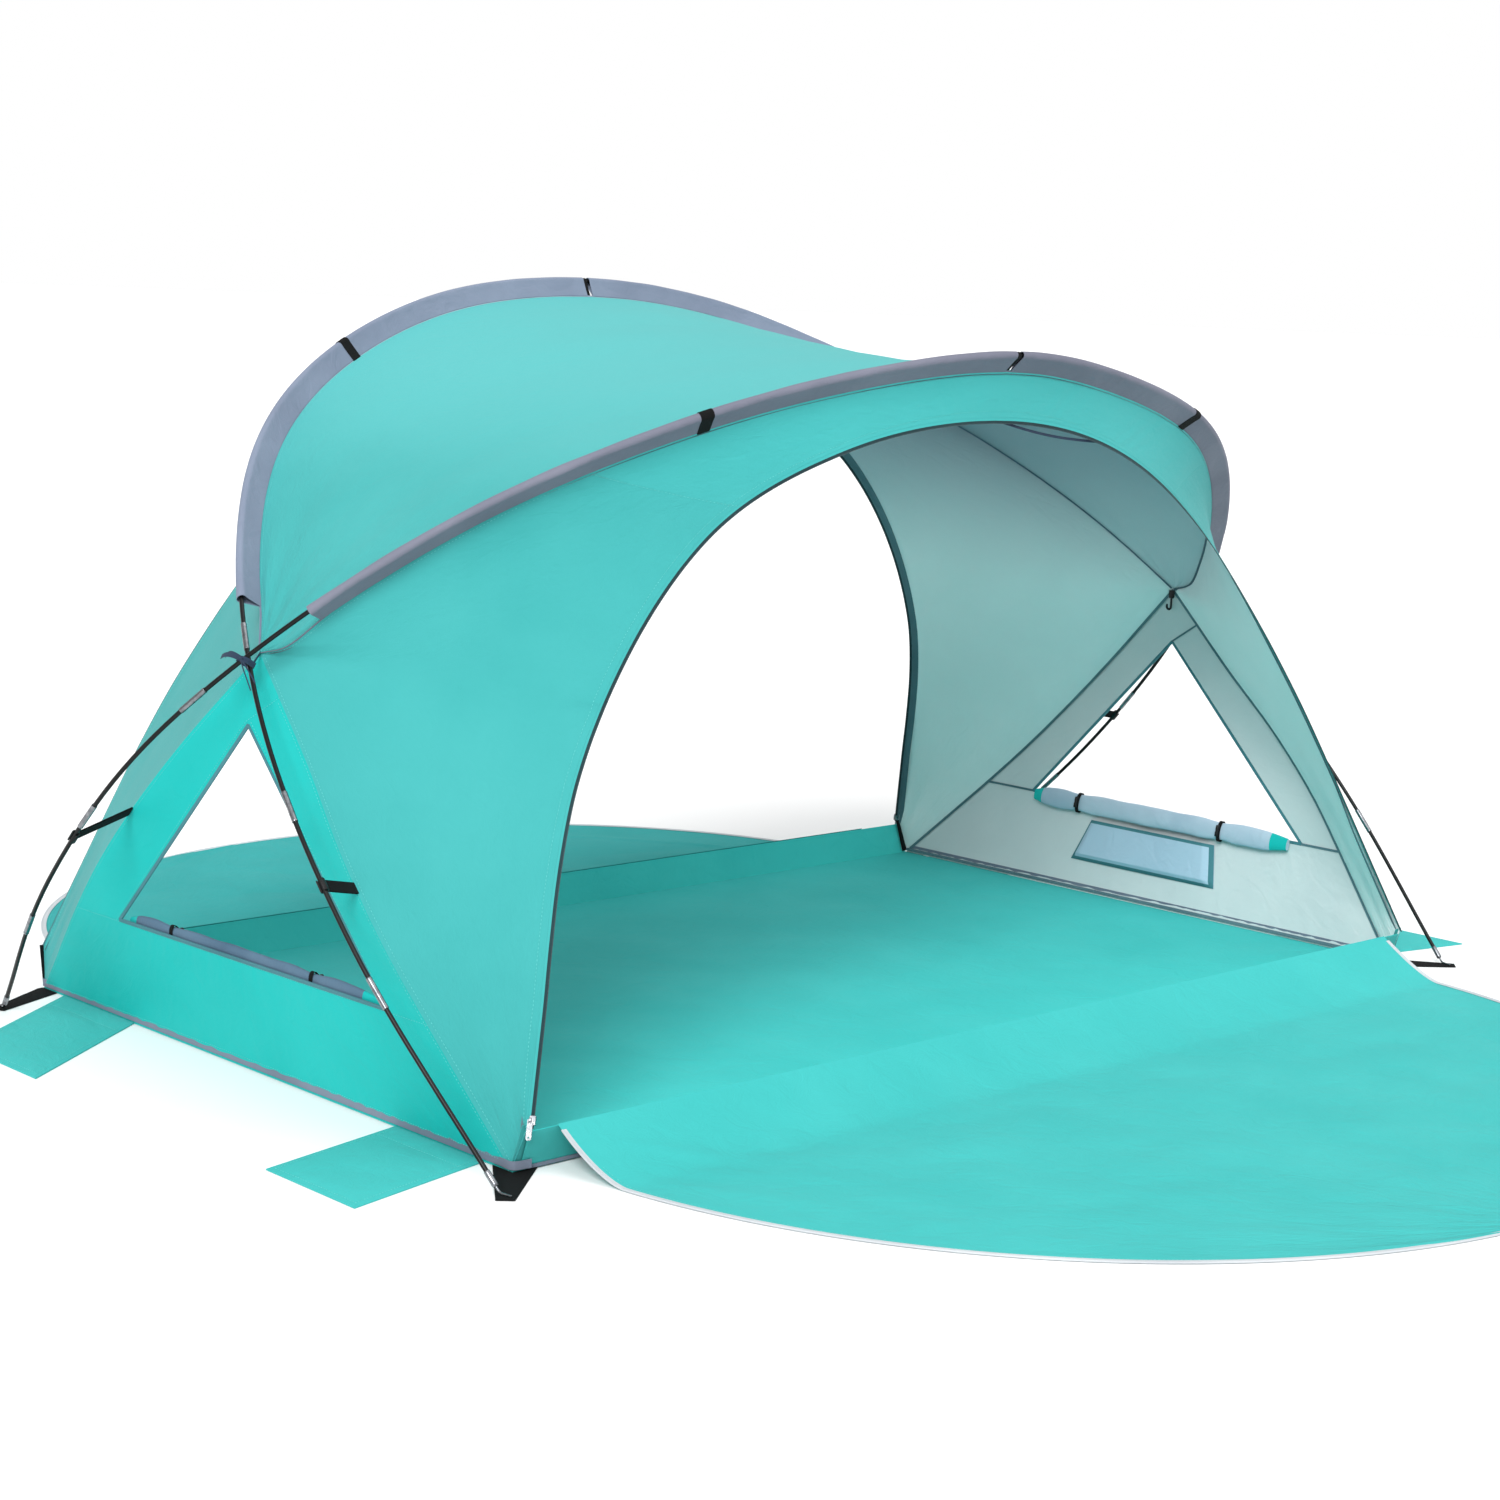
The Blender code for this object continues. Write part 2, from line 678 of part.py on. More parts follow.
def crossing_tie(side, turn):
    """A ribbon loop round both rods where they cross, with its stem sewn to the canopy."""
    out = unit(front_crossing - rear_crossing)
    front_way = unit(at_length(front_arch, front_crossing_run + tie_width) - front_crossing)
    rear_way = unit(at_length(rear_arch, rear_crossing_run + tie_width) - rear_crossing)
    rise = front_way + rear_way
    rise = unit(rise - out * np.dot(rise, out))
    across = np.cross(rise, out)
    middle = (front_crossing + rear_crossing) / 2
    a = np.linalg.norm(front_crossing - rear_crossing) / 2 + pole_radius + tie_gap
    # The loop is wide enough for both rods where they pass through its faces.
    slope = math.acos(np.dot(rise, rear_way))
    b = tie_width / 2 * math.tan(slope) + pole_radius / math.cos(slope) + tie_room
    c = tie_corner
    loops = []
    for wall in (tie_wall, 0.0):
        u, v = a + wall, b + wall
        right = [(u - c, -v), (u, c - v), (u, v - c), (u - c, v)]
        loops.append(right + [(-x, y) for x, y in reversed(right)])
    place, along, up = turn(middle), turn(out), turn(across)
    made = plate("crossing_tie_" + side, loops, tie_width, place, along, up, grey_cloth())
    root = middle - out * (a + tie_wall / 2)
    seat = crossing + unit(root - crossing) * tie_seat
    half = rise * tie_width / 2
    first = np.array([root - half, root + half])
    second = np.array([seat - half, seat + half])
    normal = np.cross(seat - root, rise)
    stem = tab("tie_stem_" + side, turn(first), turn(second), turn(normal), grey_cloth())
    joined(made, stem)


clip_bore = pole_radius + 2 * clearance
clip_wall = 0.0028
clip_width = 0.022
clip_seat = 0.0007
# Distances from the crossing down to the clips.
front_clip_drop, rear_clip_drop = 0.50, 0.483
ring_sides = 12
ridge_steps = 1200


def pole_clip(name, line, ridge, where, turn):
    """A clip that is snapped on the rod, on a webbing tab sewn into the canopy's ridge."""
    run = lengths(line)
    k = np.searchsorted(run, where)
    middle = (line[k - 1] + line[k]) / 2
    way = unit(line[k] - line[k - 1])
    ridge_run = np.linspace(0.0, lengths(ridge)[-1], ridge_steps)
    reach = at_length(ridge, ridge_run) - middle
    # The ridge point that lies squarest to the rod keeps the tab straight.
    best = ridge_run[np.argmin(np.abs(reach @ way))]
    ends = at_length(ridge, best + np.array([-0.5, 0.5]) * clip_width)
    out = unit(ends.mean(axis=0) - middle)
    across = np.cross(way, out)
    ring = clip_bore / math.cos(math.pi / ring_sides)
    loops = (circle(ring + clip_wall, ring_sides), circle(ring, ring_sides))
    made = plate(name, loops, clip_width, turn(middle), turn(out), turn(across), black_plastic())
    root = middle + out * (ring + clip_wall / 2)
    first = root + np.array([[-0.5], [0.5]]) * clip_width * way
    second = ends - unit(ends - first) * clip_seat
    strip = tab(name + "_tab", turn(first), turn(second), turn(across), black_plastic())
    joined(made, strip)


# A door's half width as a share of the floor's, and its reach as a share of its hoop's height.
front_door_half_share, front_door_reach_share = 0.9417, 0.886
rear_door_half_share, rear_door_reach_share = 0.8833, 0.70
door_apron = 0.15
door_fall_power = 1.5
door_seam = 0.0006
door_row_shares = (0.0, 0.03, 0.065, 0.10, 0.135, 0.26, 0.39, 0.52, 0.65, 0.77, 0.87, 0.94, 0.98, 0.998)
door_column_shares = (-1.0, -0.5, 0.0, 0.5, 1.0)


def door_hinge(front):
    """The middle of the line along the sill's top that a door folds on."""
    way = -1.0 if front else 1.0
    return np.array([0.0, way * (half_depth + sill_lean + door_seam), sill_height + door_seam])


def door_panel(name, front, half, reach):
    """An unzipped door: from the sill it drops to the ground and lies flat, as a half oval."""
    way = -1.0 if front else 1.0
    hinge = door_hinge(front)
    grid = []
    for share in door_row_shares:
        out = reach * share
        fall = max(0.0, 1.0 - out / door_apron) ** door_fall_power
        wide = half * math.sqrt(1.0 - share * share)
        grid.append([(wide * c, hinge[1] + way * out, hinge[2] * fall) for c in door_column_shares])
    lower = np.array(grid)
    upper = lower + np.array([0.0, 0.0, cloth])
    pivoted(closed_sheet(name, lower, upper, teal_cloth()), hinge)


def zip_path(outer, inner):
    """The middle line of a zip tape beside the doorway's edge, with its across and outward directions."""
    way = unit(np.gradient(inner, axis=0))
    across = inner - outer
    knee = np.argmin(np.abs(lengths(inner) - zip_straight))
    # The straight run keeps one direction, so that the slider can travel on it.
    across[:knee] = across[knee]
    across = unit(across - way * np.sum(across * way, axis=1, keepdims=True))
    out = np.cross(across, way)
    out = out * np.sign(np.sum(out * -inward(inner), axis=1, keepdims=True))
    # The panel's mitred edge leans under the tape by this much.
    lean = np.maximum(0.0, np.sum(inward(inner) * across, axis=1, keepdims=True)) * cloth
    lean[:knee + 1] = lean[:knee + 1].max()
    centre = inner + across * (zip_width / 2 + seam_gap + lean) - out * cloth / 2
    return centre, across, out


def zip_tape(name, outer, inner):
    centre, across, out = zip_path(outer, inner)
    w, t = zip_width / 2, zip_thickness / 2
    section = [(-w, -t), (w, -t), (w, t), (-w, t)]
    swept(name, whole(centre), whole(out), section, black_webbing())


slider_length = 0.014
slider_seat = 0.012
slider_gap = 0.0005
slider_wall = 0.0019
slider_lap = 0.003
bail_length = 0.0066
bail_width = 0.003
bail_wall = 0.0016
bail_room = 0.0030
pull_bar = 0.0015
pull_width = 0.009
pull_length = 0.032
pull_eye = 0.0048
pull_hole = 0.0015
pull_thickness = 0.0015


def zip_frame(outer, inner):
    """Place and directions of a zip slider: along the tape, across it, and out from the cloth."""
    centre, across, out = zip_path(outer, inner)
    along = unit(centre[1] - centre[0])
    side = unit(across[0] - along * np.dot(across[0], along))
    face = np.cross(side, along)
    face = face * np.sign(np.dot(face, out[0]))
    return centre[0] + along * slider_seat, along, side, face


def zip_slider(prefix, outer, inner, turn):
    """A slider that wraps the tape's free edge, its bail, and the pull that hangs on the bail."""
    place, along, side, face = [turn(v) for v in zip_frame(outer, inner)]
    w, t = zip_width / 2, zip_thickness / 2 + slider_gap
    top = t + slider_wall
    back = w + slider_gap + slider_wall
    lap = slider_lap - w
    section = [(lap, t), (lap, top), (back, top), (back, -top), (lap, -top), (lap, -t),
               (w + slider_gap, -t), (w + slider_gap, t)]
    body = plate(prefix + "_zip_slider", (section,), slider_length, place, side, face, bright_steel())
    half = bail_length / 2
    inner_half = half - bail_wall
    roof = top + bail_room
    over = roof + bail_wall
    sink = top - slider_wall / 3
    shoulder = over - bail_wall / 2
    arch = [(-half, sink), (-half, shoulder), (-inner_half, over), (inner_half, over), (half, shoulder),
            (half, sink), (inner_half, sink), (inner_half, roof), (-inner_half, roof), (-inner_half, sink)]
    joined(body, plate(prefix + "_bail", (arch,), bail_width, place, along, face, bright_steel()))
    bar = place + face * (top + bail_room / 2)
    half_w, half_b = pull_width / 2, pull_bar / 2
    eye = bail_width / 2 + 2 * slider_gap
    cut = pull_width / 4
    outline = [(-half_w, half_b), (-half_w, cut - pull_length), (cut - half_w, -pull_length),
               (half_w - cut, -pull_length), (half_w, cut - pull_length), (half_w, half_b)]
    window = [(-eye, -half_b), (-eye, -half_b - pull_eye), (eye, -half_b - pull_eye), (eye, -half_b)]
    dot = circle(pull_hole, 8, (0.0, 3 * pull_hole - pull_length))
    plate(prefix + "_zip_pull", (outline, window, dot), pull_thickness, bar, side, along, bright_steel())


roll_depth = 0.011
roll_height = 0.027
roll_level_share = 0.27
# Each row is a station from front to rear: its place across the wall, and the roll's size there.
# The two narrow stations are where the toggles tie it.
roll_shares = (
    (0.130, 0.58), (0.190, 0.92), (0.250, 1.0), (0.306, 0.84), (0.360, 1.0), (0.430, 0.95), (0.505, 1.02),
    (0.580, 0.95), (0.650, 1.0), (0.703, 0.84), (0.755, 1.0), (0.800, 0.90), (0.835, 0.55),
)
roll_ties = {"front": 3, "rear": 9}
roll_sides = 10
toggle_radius = 0.0045
toggle_length = 0.026
toggle_outline_shares = ((-1.0, 0.7), (-0.7, 1.0), (0.0, 0.95), (0.7, 1.0), (1.0, 0.7))
toggle_flat = toggle_radius * math.cos(math.pi / 8)
wall_rest = cloth + 2 * clearance
wall_step_share = 0.01


def wall_frame(level, across):
    """On the left wall: a point of its outer face, its inward normal and its upward direction."""
    here = wall_point(level, across)
    up = wall_point(level + wall_step_share, across) - here
    way = unit(wall_point(level, across + wall_step_share) - here)
    normal = unit(np.cross(way, up))
    normal = normal * np.sign(np.dot(normal, inward(here)))
    return here, normal, unit(up - way * np.dot(up, way))


def window_roll(side, turn):
    """The window's flap, rolled down along the sill on the room side."""
    path, ups, scales = [], [], []
    for across, scale in roll_shares:
        here, normal, up = wall_frame(roll_level_share, across)
        path.append(here + normal * (wall_rest + roll_depth))
        ups.append(up)
        scales.append(scale)
    angles = np.arange(roll_sides) * 2 * math.pi / roll_sides
    section = [(roll_depth * math.cos(a), roll_height * math.sin(a)) for a in angles]
    swept("window_roll_" + side, turn(path), turn(ups), section, pocket_cloth(), scales=scales)


def toggles(side, turn):
    """The two toggles that hold a window roll, on its room side."""
    for place, station in roll_ties.items():
        across, scale = roll_shares[station]
        here, normal, up = wall_frame(roll_level_share, across)
        stand = wall_rest + roll_depth * (1.0 + scale) + toggle_flat + 2 * clearance
        middle = here + normal * stand
        path = [middle + up * toggle_length / 2 * run for run, _ in toggle_outline_shares]
        made = swept(f"toggle_{place}_{side}", turn(path), turn(normal), round_section(toggle_radius),
                     black_plastic(), scales=[scale for _, scale in toggle_outline_shares])
        pivoted(made, turn(middle))


pocket_low_share, pocket_high_share = 0.095, 0.225
pocket_front_share, pocket_rear_share = 0.33, 0.655
pocket_depth = 0.016
pocket_column_shares = (0.0, 0.06, 0.3, 0.5, 0.7, 0.94, 1.0)
pocket_row_shares = (0.0, 0.15, 0.5, 1.0)


def storage_pocket(side, turn):
    """A patch pocket on the lower wall: sewn at its sides and bottom, and open at its top."""
    outer, inner = [], []
    for v in pocket_row_shares:
        level = pocket_low_share + (pocket_high_share - pocket_low_share) * v
        for u in pocket_column_shares:
            across = pocket_front_share + (pocket_rear_share - pocket_front_share) * u
            here, normal, _ = wall_frame(level, across)
            sewn = u in (0.0, 1.0) or v == 0.0
            stand = wall_rest + (0.0 if sewn else pocket_depth)
            inner.append(here + normal * stand)
            outer.append(here + normal * (stand + cloth))
    shape = (len(pocket_row_shares), len(pocket_column_shares), 3)
    outer, inner = np.array(outer).reshape(shape), np.array(inner).reshape(shape)
    closed_sheet("storage_pocket_" + side, turn(outer), turn(inner), pocket_cloth())


flap_seam = 0.0007
flap_pouch = 0.0045
# A flap's start along the floor's side and its width, as shares of the floor's half depth.
front_flap_shares = (-0.576, 0.3254)
rear_flap_shares = (0.893, 0.348)
front_flap_reach, front_flap_skew = 0.29, 0.062
rear_flap_reach, rear_flap_skew = 0.32, 0.215
flap_run_shares = ((0.0, 0.0), (0.10, 0.0), (0.16, 0.8), (0.50, 1.0), (0.90, 0.7), (1.0, 0.2))
flap_column_shares = (0.0, 0.06, 0.5, 0.94, 1.0)


def sand_flap(name, shares, reach, skew, turn):
    """A flat pouch for a fill of sand, which folds on the floor's side seam."""
    start, width = [half_depth * share for share in shares]
    edge = -half_width - flap_seam
    lower, upper = [], []
    for run, fill in flap_run_shares:
        for t in flap_column_shares:
            x = edge - reach * run
            y = start - skew * run - width * t
            swell = 0.0 if t in (0.0, 1.0) else flap_pouch * fill
            lower.append((x, y, 0.0))
            upper.append((x, y, cloth + swell))
    shape = (len(flap_run_shares), len(flap_column_shares), 3)
    made = closed_sheet(name, turn(lower).reshape(shape), turn(upper).reshape(shape), teal_cloth())
    pivoted(made, turn((edge, start - width / 2, cloth / 2)))


hook_thickness = 0.003
hook_tab = 0.012
hook_drop = 0.046
hook_wire = 0.0042
hook_bend = 0.0085
hook_lead = 0.018
hook_stand = 0.0063
bend_steps = 6


def lantern_hook():
    """A webbing tab that carries a J hook, under the right crossing on the room side."""
    half = hook_tab / 2
    w = hook_wire
    low = hook_bend - hook_drop
    middle = hook_bend - w / 2
    angles = [math.pi * k / bend_steps for k in range(bend_steps + 1)]
    outline = [(-half, 0.0), (-half, -hook_lead), (-w / 2, -hook_lead - w)]
    outline += [(middle - hook_bend * math.cos(a), low - hook_bend * math.sin(a)) for a in angles]
    outline += [(middle + hook_bend, low + w), (middle + hook_bend - w, low + w)]
    bend = hook_bend - w
    outline += [(middle - bend * math.cos(a), low - bend * math.sin(a)) for a in reversed(angles)]
    outline += [(w / 2, -hook_lead - w), (half, -hook_lead), (half, 0.0)]
    place = mirrored(crossing + inward(crossing) * (cloth + hook_stand))
    along, up = (0.0, 1.0, 0.0), (0.0, 0.0, 1.0)
    plate("lantern_hook", (outline,), hook_thickness, place, along, up, black_plastic())


clear_scene()
roof_panel()
face_panels("front", front_outer, front_inner)
face_panels("rear", rear_outer, rear_inner)
floor_sheet()
front_door_half, rear_door_half = half_width * front_door_half_share, half_width * rear_door_half_share
door_panel("front_door", True, front_door_half, front_arch_height * front_door_reach_share)
door_panel("rear_door", False, rear_door_half, rear_arch_height * rear_door_reach_share)
zip_tape("front_zip", front_outer, front_inner)
zip_tape("rear_zip", rear_outer, rear_inner)
zip_slider("front", front_outer, front_inner, np.asarray)
zip_slider("rear", rear_outer, rear_inner, mirrored)
pole("front", front_arch, front_crossing_run + front_ferrule_offset, front_ferrule_pitch)
pole("rear", rear_arch, rear_crossing_run + rear_ferrule_offset, rear_ferrule_pitch)
sleeves("front", front_arch, front_crossing_run + front_sleeve_lead)
sleeves("rear", rear_arch, rear_crossing_run + rear_sleeve_lead)
for side, turn in (("left", np.asarray), ("right", mirrored)):
    side_panels(side, turn)
    window_roll(side, turn)
    toggles(side, turn)
    crossing_tie(side, turn)
    # The front hoop's feet are at the rear corners, and the rear hoop's at the front ones.
    for corner_name, line, is_front in (("rear", front_arch, False), ("front", rear_arch, True)):
        foot, toe = pin(f"pin_{corner_name}_{side}", line, turn)
        corner_strap(f"corner_strap_{corner_name}_{side}", foot, toe, is_front, turn)
    pole_clip(f"pole_clip_rear_{side}", front_arch, rear_ridge, front_crossing_run - front_clip_drop, turn)
    pole_clip(f"pole_clip_front_{side}", rear_arch, front_ridge, rear_crossing_run - rear_clip_drop, turn)
    sand_flap("sand_flap_front_" + side, front_flap_shares, front_flap_reach, front_flap_skew, turn)
    sand_flap("sand_flap_rear_" + side, rear_flap_shares, rear_flap_reach, rear_flap_skew, turn)
storage_pocket("right", mirrored)
lantern_hook()
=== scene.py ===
import json
import math

import bpy
import numpy as np
from mathutils import Matrix, Vector

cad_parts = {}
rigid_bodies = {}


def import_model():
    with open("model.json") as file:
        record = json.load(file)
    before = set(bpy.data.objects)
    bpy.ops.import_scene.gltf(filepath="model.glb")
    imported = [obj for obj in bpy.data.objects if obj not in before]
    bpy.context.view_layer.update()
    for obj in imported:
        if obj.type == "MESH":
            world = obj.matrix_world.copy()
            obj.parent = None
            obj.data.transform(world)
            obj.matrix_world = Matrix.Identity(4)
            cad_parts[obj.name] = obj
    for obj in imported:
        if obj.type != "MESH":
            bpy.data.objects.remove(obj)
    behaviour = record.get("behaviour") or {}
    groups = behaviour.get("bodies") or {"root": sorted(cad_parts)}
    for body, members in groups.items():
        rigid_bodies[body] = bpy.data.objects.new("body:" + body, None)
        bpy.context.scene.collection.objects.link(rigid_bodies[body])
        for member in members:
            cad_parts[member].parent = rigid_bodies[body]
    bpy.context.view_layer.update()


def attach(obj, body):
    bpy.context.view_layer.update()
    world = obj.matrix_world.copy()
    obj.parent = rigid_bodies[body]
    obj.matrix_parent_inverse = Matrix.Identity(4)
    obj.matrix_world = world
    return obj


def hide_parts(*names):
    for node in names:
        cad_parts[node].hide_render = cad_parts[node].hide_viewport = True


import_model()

# %% [markdown]
# ## Camera
#
# The camera stands low and well to the left of the front, as in the photograph. Its three angles
# give three square directions, and these are the columns of the camera's matrix. A long lens keeps
# the two hoops in their true proportion.
# %% Place the camera
yaw, pitch, roll = 0.7674, -0.1591, 0.0377
camera_place = np.array([-3.8204, -3.9193, 1.3376])
camera_lens = 66.69


def camera_matrix():
    ahead = np.array([math.sin(yaw) * math.cos(pitch), math.cos(yaw) * math.cos(pitch), math.sin(pitch)])
    level = np.array([math.cos(yaw), -math.sin(yaw), 0.0])
    above = np.cross(level, ahead)
    right = math.cos(roll) * level + math.sin(roll) * above
    up = math.cos(roll) * above - math.sin(roll) * level
    return Matrix([[right[k], up[k], -ahead[k], camera_place[k]] for k in range(3)] + [[0.0, 0.0, 0.0, 1.0]])


camera = bpy.data.objects.new("camera", bpy.data.cameras.new("camera"))
camera.data.lens = camera_lens
camera.data.sensor_width = 36
camera.matrix_world = camera_matrix()
bpy.context.scene.collection.objects.link(camera)
bpy.context.scene.camera = camera
print("camera at", [round(v, 2) for v in camera.location])

# %% [markdown]
# ## Studio
#
# A large pale floor and a pale sky stand for a photographer's white room. One wide lamp at the front
# lights the near side and reaches in through the doorway, and leaves the floor behind the near panel
# in shade. A second one above brings out the roof. Wide lamps give soft shadows.
# %% Build the studio
ground_reach, ground_drop = 400.0, 0.0006
lamps = {"key": ((-0.66, -0.46, 0.60), 30, 2.7), "top": ((0.35, -0.25, 0.85), 70, 1.15)}
sky_light, sky_seen = 0.56, 1.0


def colour(red, green, blue):
    """A screen colour, from 0 to 255, as the linear values that a shader takes."""
    share = np.array([red, green, blue]) / 255
    linear = np.where(share <= 0.04045, share / 12.92, ((share + 0.055) / 1.055) ** 2.4)
    return (*[float(v) for v in linear], 1.0)


def studio_floor():
    mesh = bpy.data.meshes.new("studio_floor")
    square = ((-1, -1), (1, -1), (1, 1), (-1, 1))
    mesh.from_pydata([(x * ground_reach, y * ground_reach, -ground_drop) for x, y in square], [], [(0, 1, 2, 3)])
    paint = bpy.data.materials.new("studio_floor")
    paint.use_nodes = True
    shader = paint.node_tree.nodes["Principled BSDF"]
    shader.inputs["Base Color"].default_value = colour(249, 249, 249)
    shader.inputs["Roughness"].default_value = 0.9
    shader.inputs["Specular IOR Level"].default_value = 0.1
    mesh.materials.append(paint)
    made = bpy.data.objects.new("studio_floor", mesh)
    bpy.context.scene.collection.objects.link(made)


def sun_lamp(name, way, spread, power):
    """A lamp that lights the whole floor evenly. A wide spread in degrees gives soft shadows."""
    light = bpy.data.lights.new(name, "SUN")
    light.angle = math.radians(spread)
    light.energy = power
    made = bpy.data.objects.new(name, light)
    made.matrix_world = Vector(way).to_track_quat("Z", "Y").to_matrix().to_4x4()
    bpy.context.scene.collection.objects.link(made)


def pale_sky(lit, seen):
    """An even sky: it lights the scene at one strength, and the camera sees it at another."""
    world = bpy.data.worlds.new("studio")
    world.use_nodes = True
    tree = world.node_tree
    sky = tree.nodes["Background"]
    sky.inputs["Color"].default_value = (1.0, 1.0, 1.0, 1.0)
    rays, strength = tree.nodes.new("ShaderNodeLightPath"), tree.nodes.new("ShaderNodeMapRange")
    strength.inputs["To Min"].default_value = lit
    strength.inputs["To Max"].default_value = seen
    tree.links.new(rays.outputs["Is Camera Ray"], strength.inputs["Value"])
    tree.links.new(strength.outputs["Result"], sky.inputs["Strength"])
    bpy.context.scene.world = world


studio_floor()
for name, (way, spread, power) in lamps.items():
    sun_lamp(name, way, spread, power)
pale_sky(sky_light, sky_seen)
bpy.context.scene.view_settings.view_transform = "Standard"

# %% [markdown]
# ## Lines of the tent
#
# A tent is drawn as lines before it is cut as cloth. The hoops, ridges and doorway edges are smooth
# curves through a few points, given as shares of the floor's half width, its half depth and a
# hoop's height. Everything sewn or threaded on a line is then built from the same line, so that
# neighbours meet.
# %% Curves through points
half_width, half_depth = 1.20, 0.71
front_height, rear_height = 1.264, 1.371
room_middle = np.array([0.0, 0.0, 0.4 * front_height])
fineness, curve_steps = 8, 240


def unit(vector):
    """The vector, or each row of an array, at length 1."""
    vector = np.asarray(vector, float)
    return vector / np.linalg.norm(vector, axis=-1, keepdims=True)


def mirrored(points):
    return np.asarray(points, float) * np.array([-1.0, 1.0, 1.0])


def placed(shares, height):
    """Points in metres, from shares of the half width, the half depth and a height."""
    return np.array(shares, float) * np.array([half_width, half_depth, height])


def smooth(points, count):
    """A curve through the points, with count steps from each to the next."""
    points = np.asarray(points, float)
    padded = np.vstack([2 * points[0] - points[1], points, 2 * points[-1] - points[-2]])
    knots = np.concatenate([[0.0], np.cumsum(np.sqrt(np.linalg.norm(np.diff(padded, axis=0), axis=1)))])
    out = []
    for i in range(1, len(padded) - 2):
        t0, t1, t2, t3 = knots[i - 1:i + 3]
        p0, p1, p2, p3 = padded[i - 1:i + 3]
        t = np.linspace(t1, t2, count, endpoint=False)[:, None]
        a1 = (t1 - t) / (t1 - t0) * p0 + (t - t0) / (t1 - t0) * p1
        a2 = (t2 - t) / (t2 - t1) * p1 + (t - t1) / (t2 - t1) * p2
        a3 = (t3 - t) / (t3 - t2) * p2 + (t - t2) / (t3 - t2) * p3
        b1 = (t2 - t) / (t2 - t0) * a1 + (t - t0) / (t2 - t0) * a2
        b2 = (t3 - t) / (t3 - t1) * a2 + (t - t1) / (t3 - t1) * a3
        out.append((t2 - t) / (t2 - t1) * b1 + (t - t1) / (t2 - t1) * b2)
    return np.vstack([*out, points[-1:]])


def lengths(points):
    """How far along the line each of its points is."""
    return np.concatenate([[0.0], np.cumsum(np.linalg.norm(np.diff(points, axis=0), axis=1))])


def at_length(points, length):
    """The place on a line at a length from its start, or one place for each of many lengths."""
    run = lengths(points)
    return np.stack([np.interp(length, run, points[:, k]) for k in range(3)], axis=-1)


def whole(half):
    """A left half, which ends at x = 0, joined to its mirror image."""
    return np.vstack([half, mirrored(half[:-1])[::-1]])


def inward(points):
    """The directions from the points to the middle of the room."""
    return unit(room_middle - np.asarray(points, float))


def frames_along(path, reference):
    """For each point of a path its tangent, side and up directions, up nearest the reference."""
    steps = unit(np.diff(path, axis=0))
    tangents = unit(np.vstack([steps[:1], steps[:-1] + steps[1:], steps[-1:]]))
    reference = np.broadcast_to(reference, tangents.shape)
    ups = unit(reference - tangents * np.sum(reference * tangents, axis=1, keepdims=True))
    return tangents, np.cross(ups, tangents), ups


print("a smooth quarter turn has", len(smooth([(0, 0, 0), (1, 0, 1), (2, 0, 0)], fineness)), "points")

# %% [markdown]
# ## Hoops, seams and ridges
#
# Each pole is bent into an arch, and the two arches cross at each side. The canopy hangs a little
# below them along a seam, and ridges run from the crossings down to the floor's corners. A hoop could
# be half an ellipse, but a bent pole stands steeper at its sides, so it is a smooth curve through
# fitted points.
# %% Hoops, seams and ridges
arch_steps = 52
left_half = arch_steps // 2
sleeve_width = 0.038
crossing = np.array([-1.22878, -0.05102, 0.73370])
front_crossing_run, rear_crossing_run = 1.03776, 1.02000
front_lead, rear_lead = 0.141, 0.149
seam_start = 0.15
ridge_levels = np.array((0.0, 0.09, 0.18, 0.28, 0.43, 0.60, 0.77, 0.90, 1.0))
ridge_foot = 0.0026
front_arch_shares = (
    (-1.114, 0.869, 0.0), (-1.172, 0.477, 0.229), (-1.149, 0.130, 0.4375), (-1.033, -0.193, 0.621),
    (-0.845, -0.475, 0.780), (-0.603, -0.694, 0.895), (-0.310, -0.804, 0.968), (0.0, -0.863, 1.0),
)
rear_arch_shares = (
    (-1.068, -1.108, 0.0), (-1.112, -0.659, 0.241), (-1.0875, -0.256, 0.454), (-0.9825, 0.120, 0.638),
    (-0.812, 0.451, 0.786), (-0.578, 0.692, 0.896), (-0.302, 0.815, 0.974), (0.0, 0.837, 1.0),
)
front_ridge_shares = ((-1.035, -0.321, 0.4335), (-1.052, -0.555, 0.296), (-1.0, -1.0, 0.0))
rear_ridge_shares = ((-1.058, 0.259, 0.4035), (-1.058, 0.570, 0.234), (-1.0, 1.0, 0.0))


def arch_line(shares, height):
    """A whole hoop in equal steps, from the points of its left half."""
    curve = smooth(whole(placed(shares, height)), curve_steps)
    return at_length(curve, np.linspace(0.0, lengths(curve)[-1], arch_steps + 1))


front_arch, rear_arch = arch_line(front_arch_shares, front_height), arch_line(rear_arch_shares, rear_height)


def seam_line(line, crossing_run, lead):
    """The canopy's seam under one sleeve: the left crossing, then a point for each corner of the hoop."""
    first = max(np.searchsorted(lengths(front_arch), front_crossing_run),
                np.searchsorted(lengths(rear_arch), rear_crossing_run))
    run = lengths(line)[first:left_half + 1]
    ups = frames_along(line, -inward(line))[2][first:left_half + 1]
    deeper = np.linalg.norm(crossing - at_length(line, crossing_run)) - sleeve_width
    fade = np.maximum(0.0, 1.0 - (run - crossing_run) / lead) ** 2
    seam = line[first:left_half + 1] - ups * (sleeve_width + deeper * fade)[:, None]
    seam[-1, 0] = 0.0
    return np.vstack([crossing, crossing + (seam[0] - crossing) * seam_start, seam])


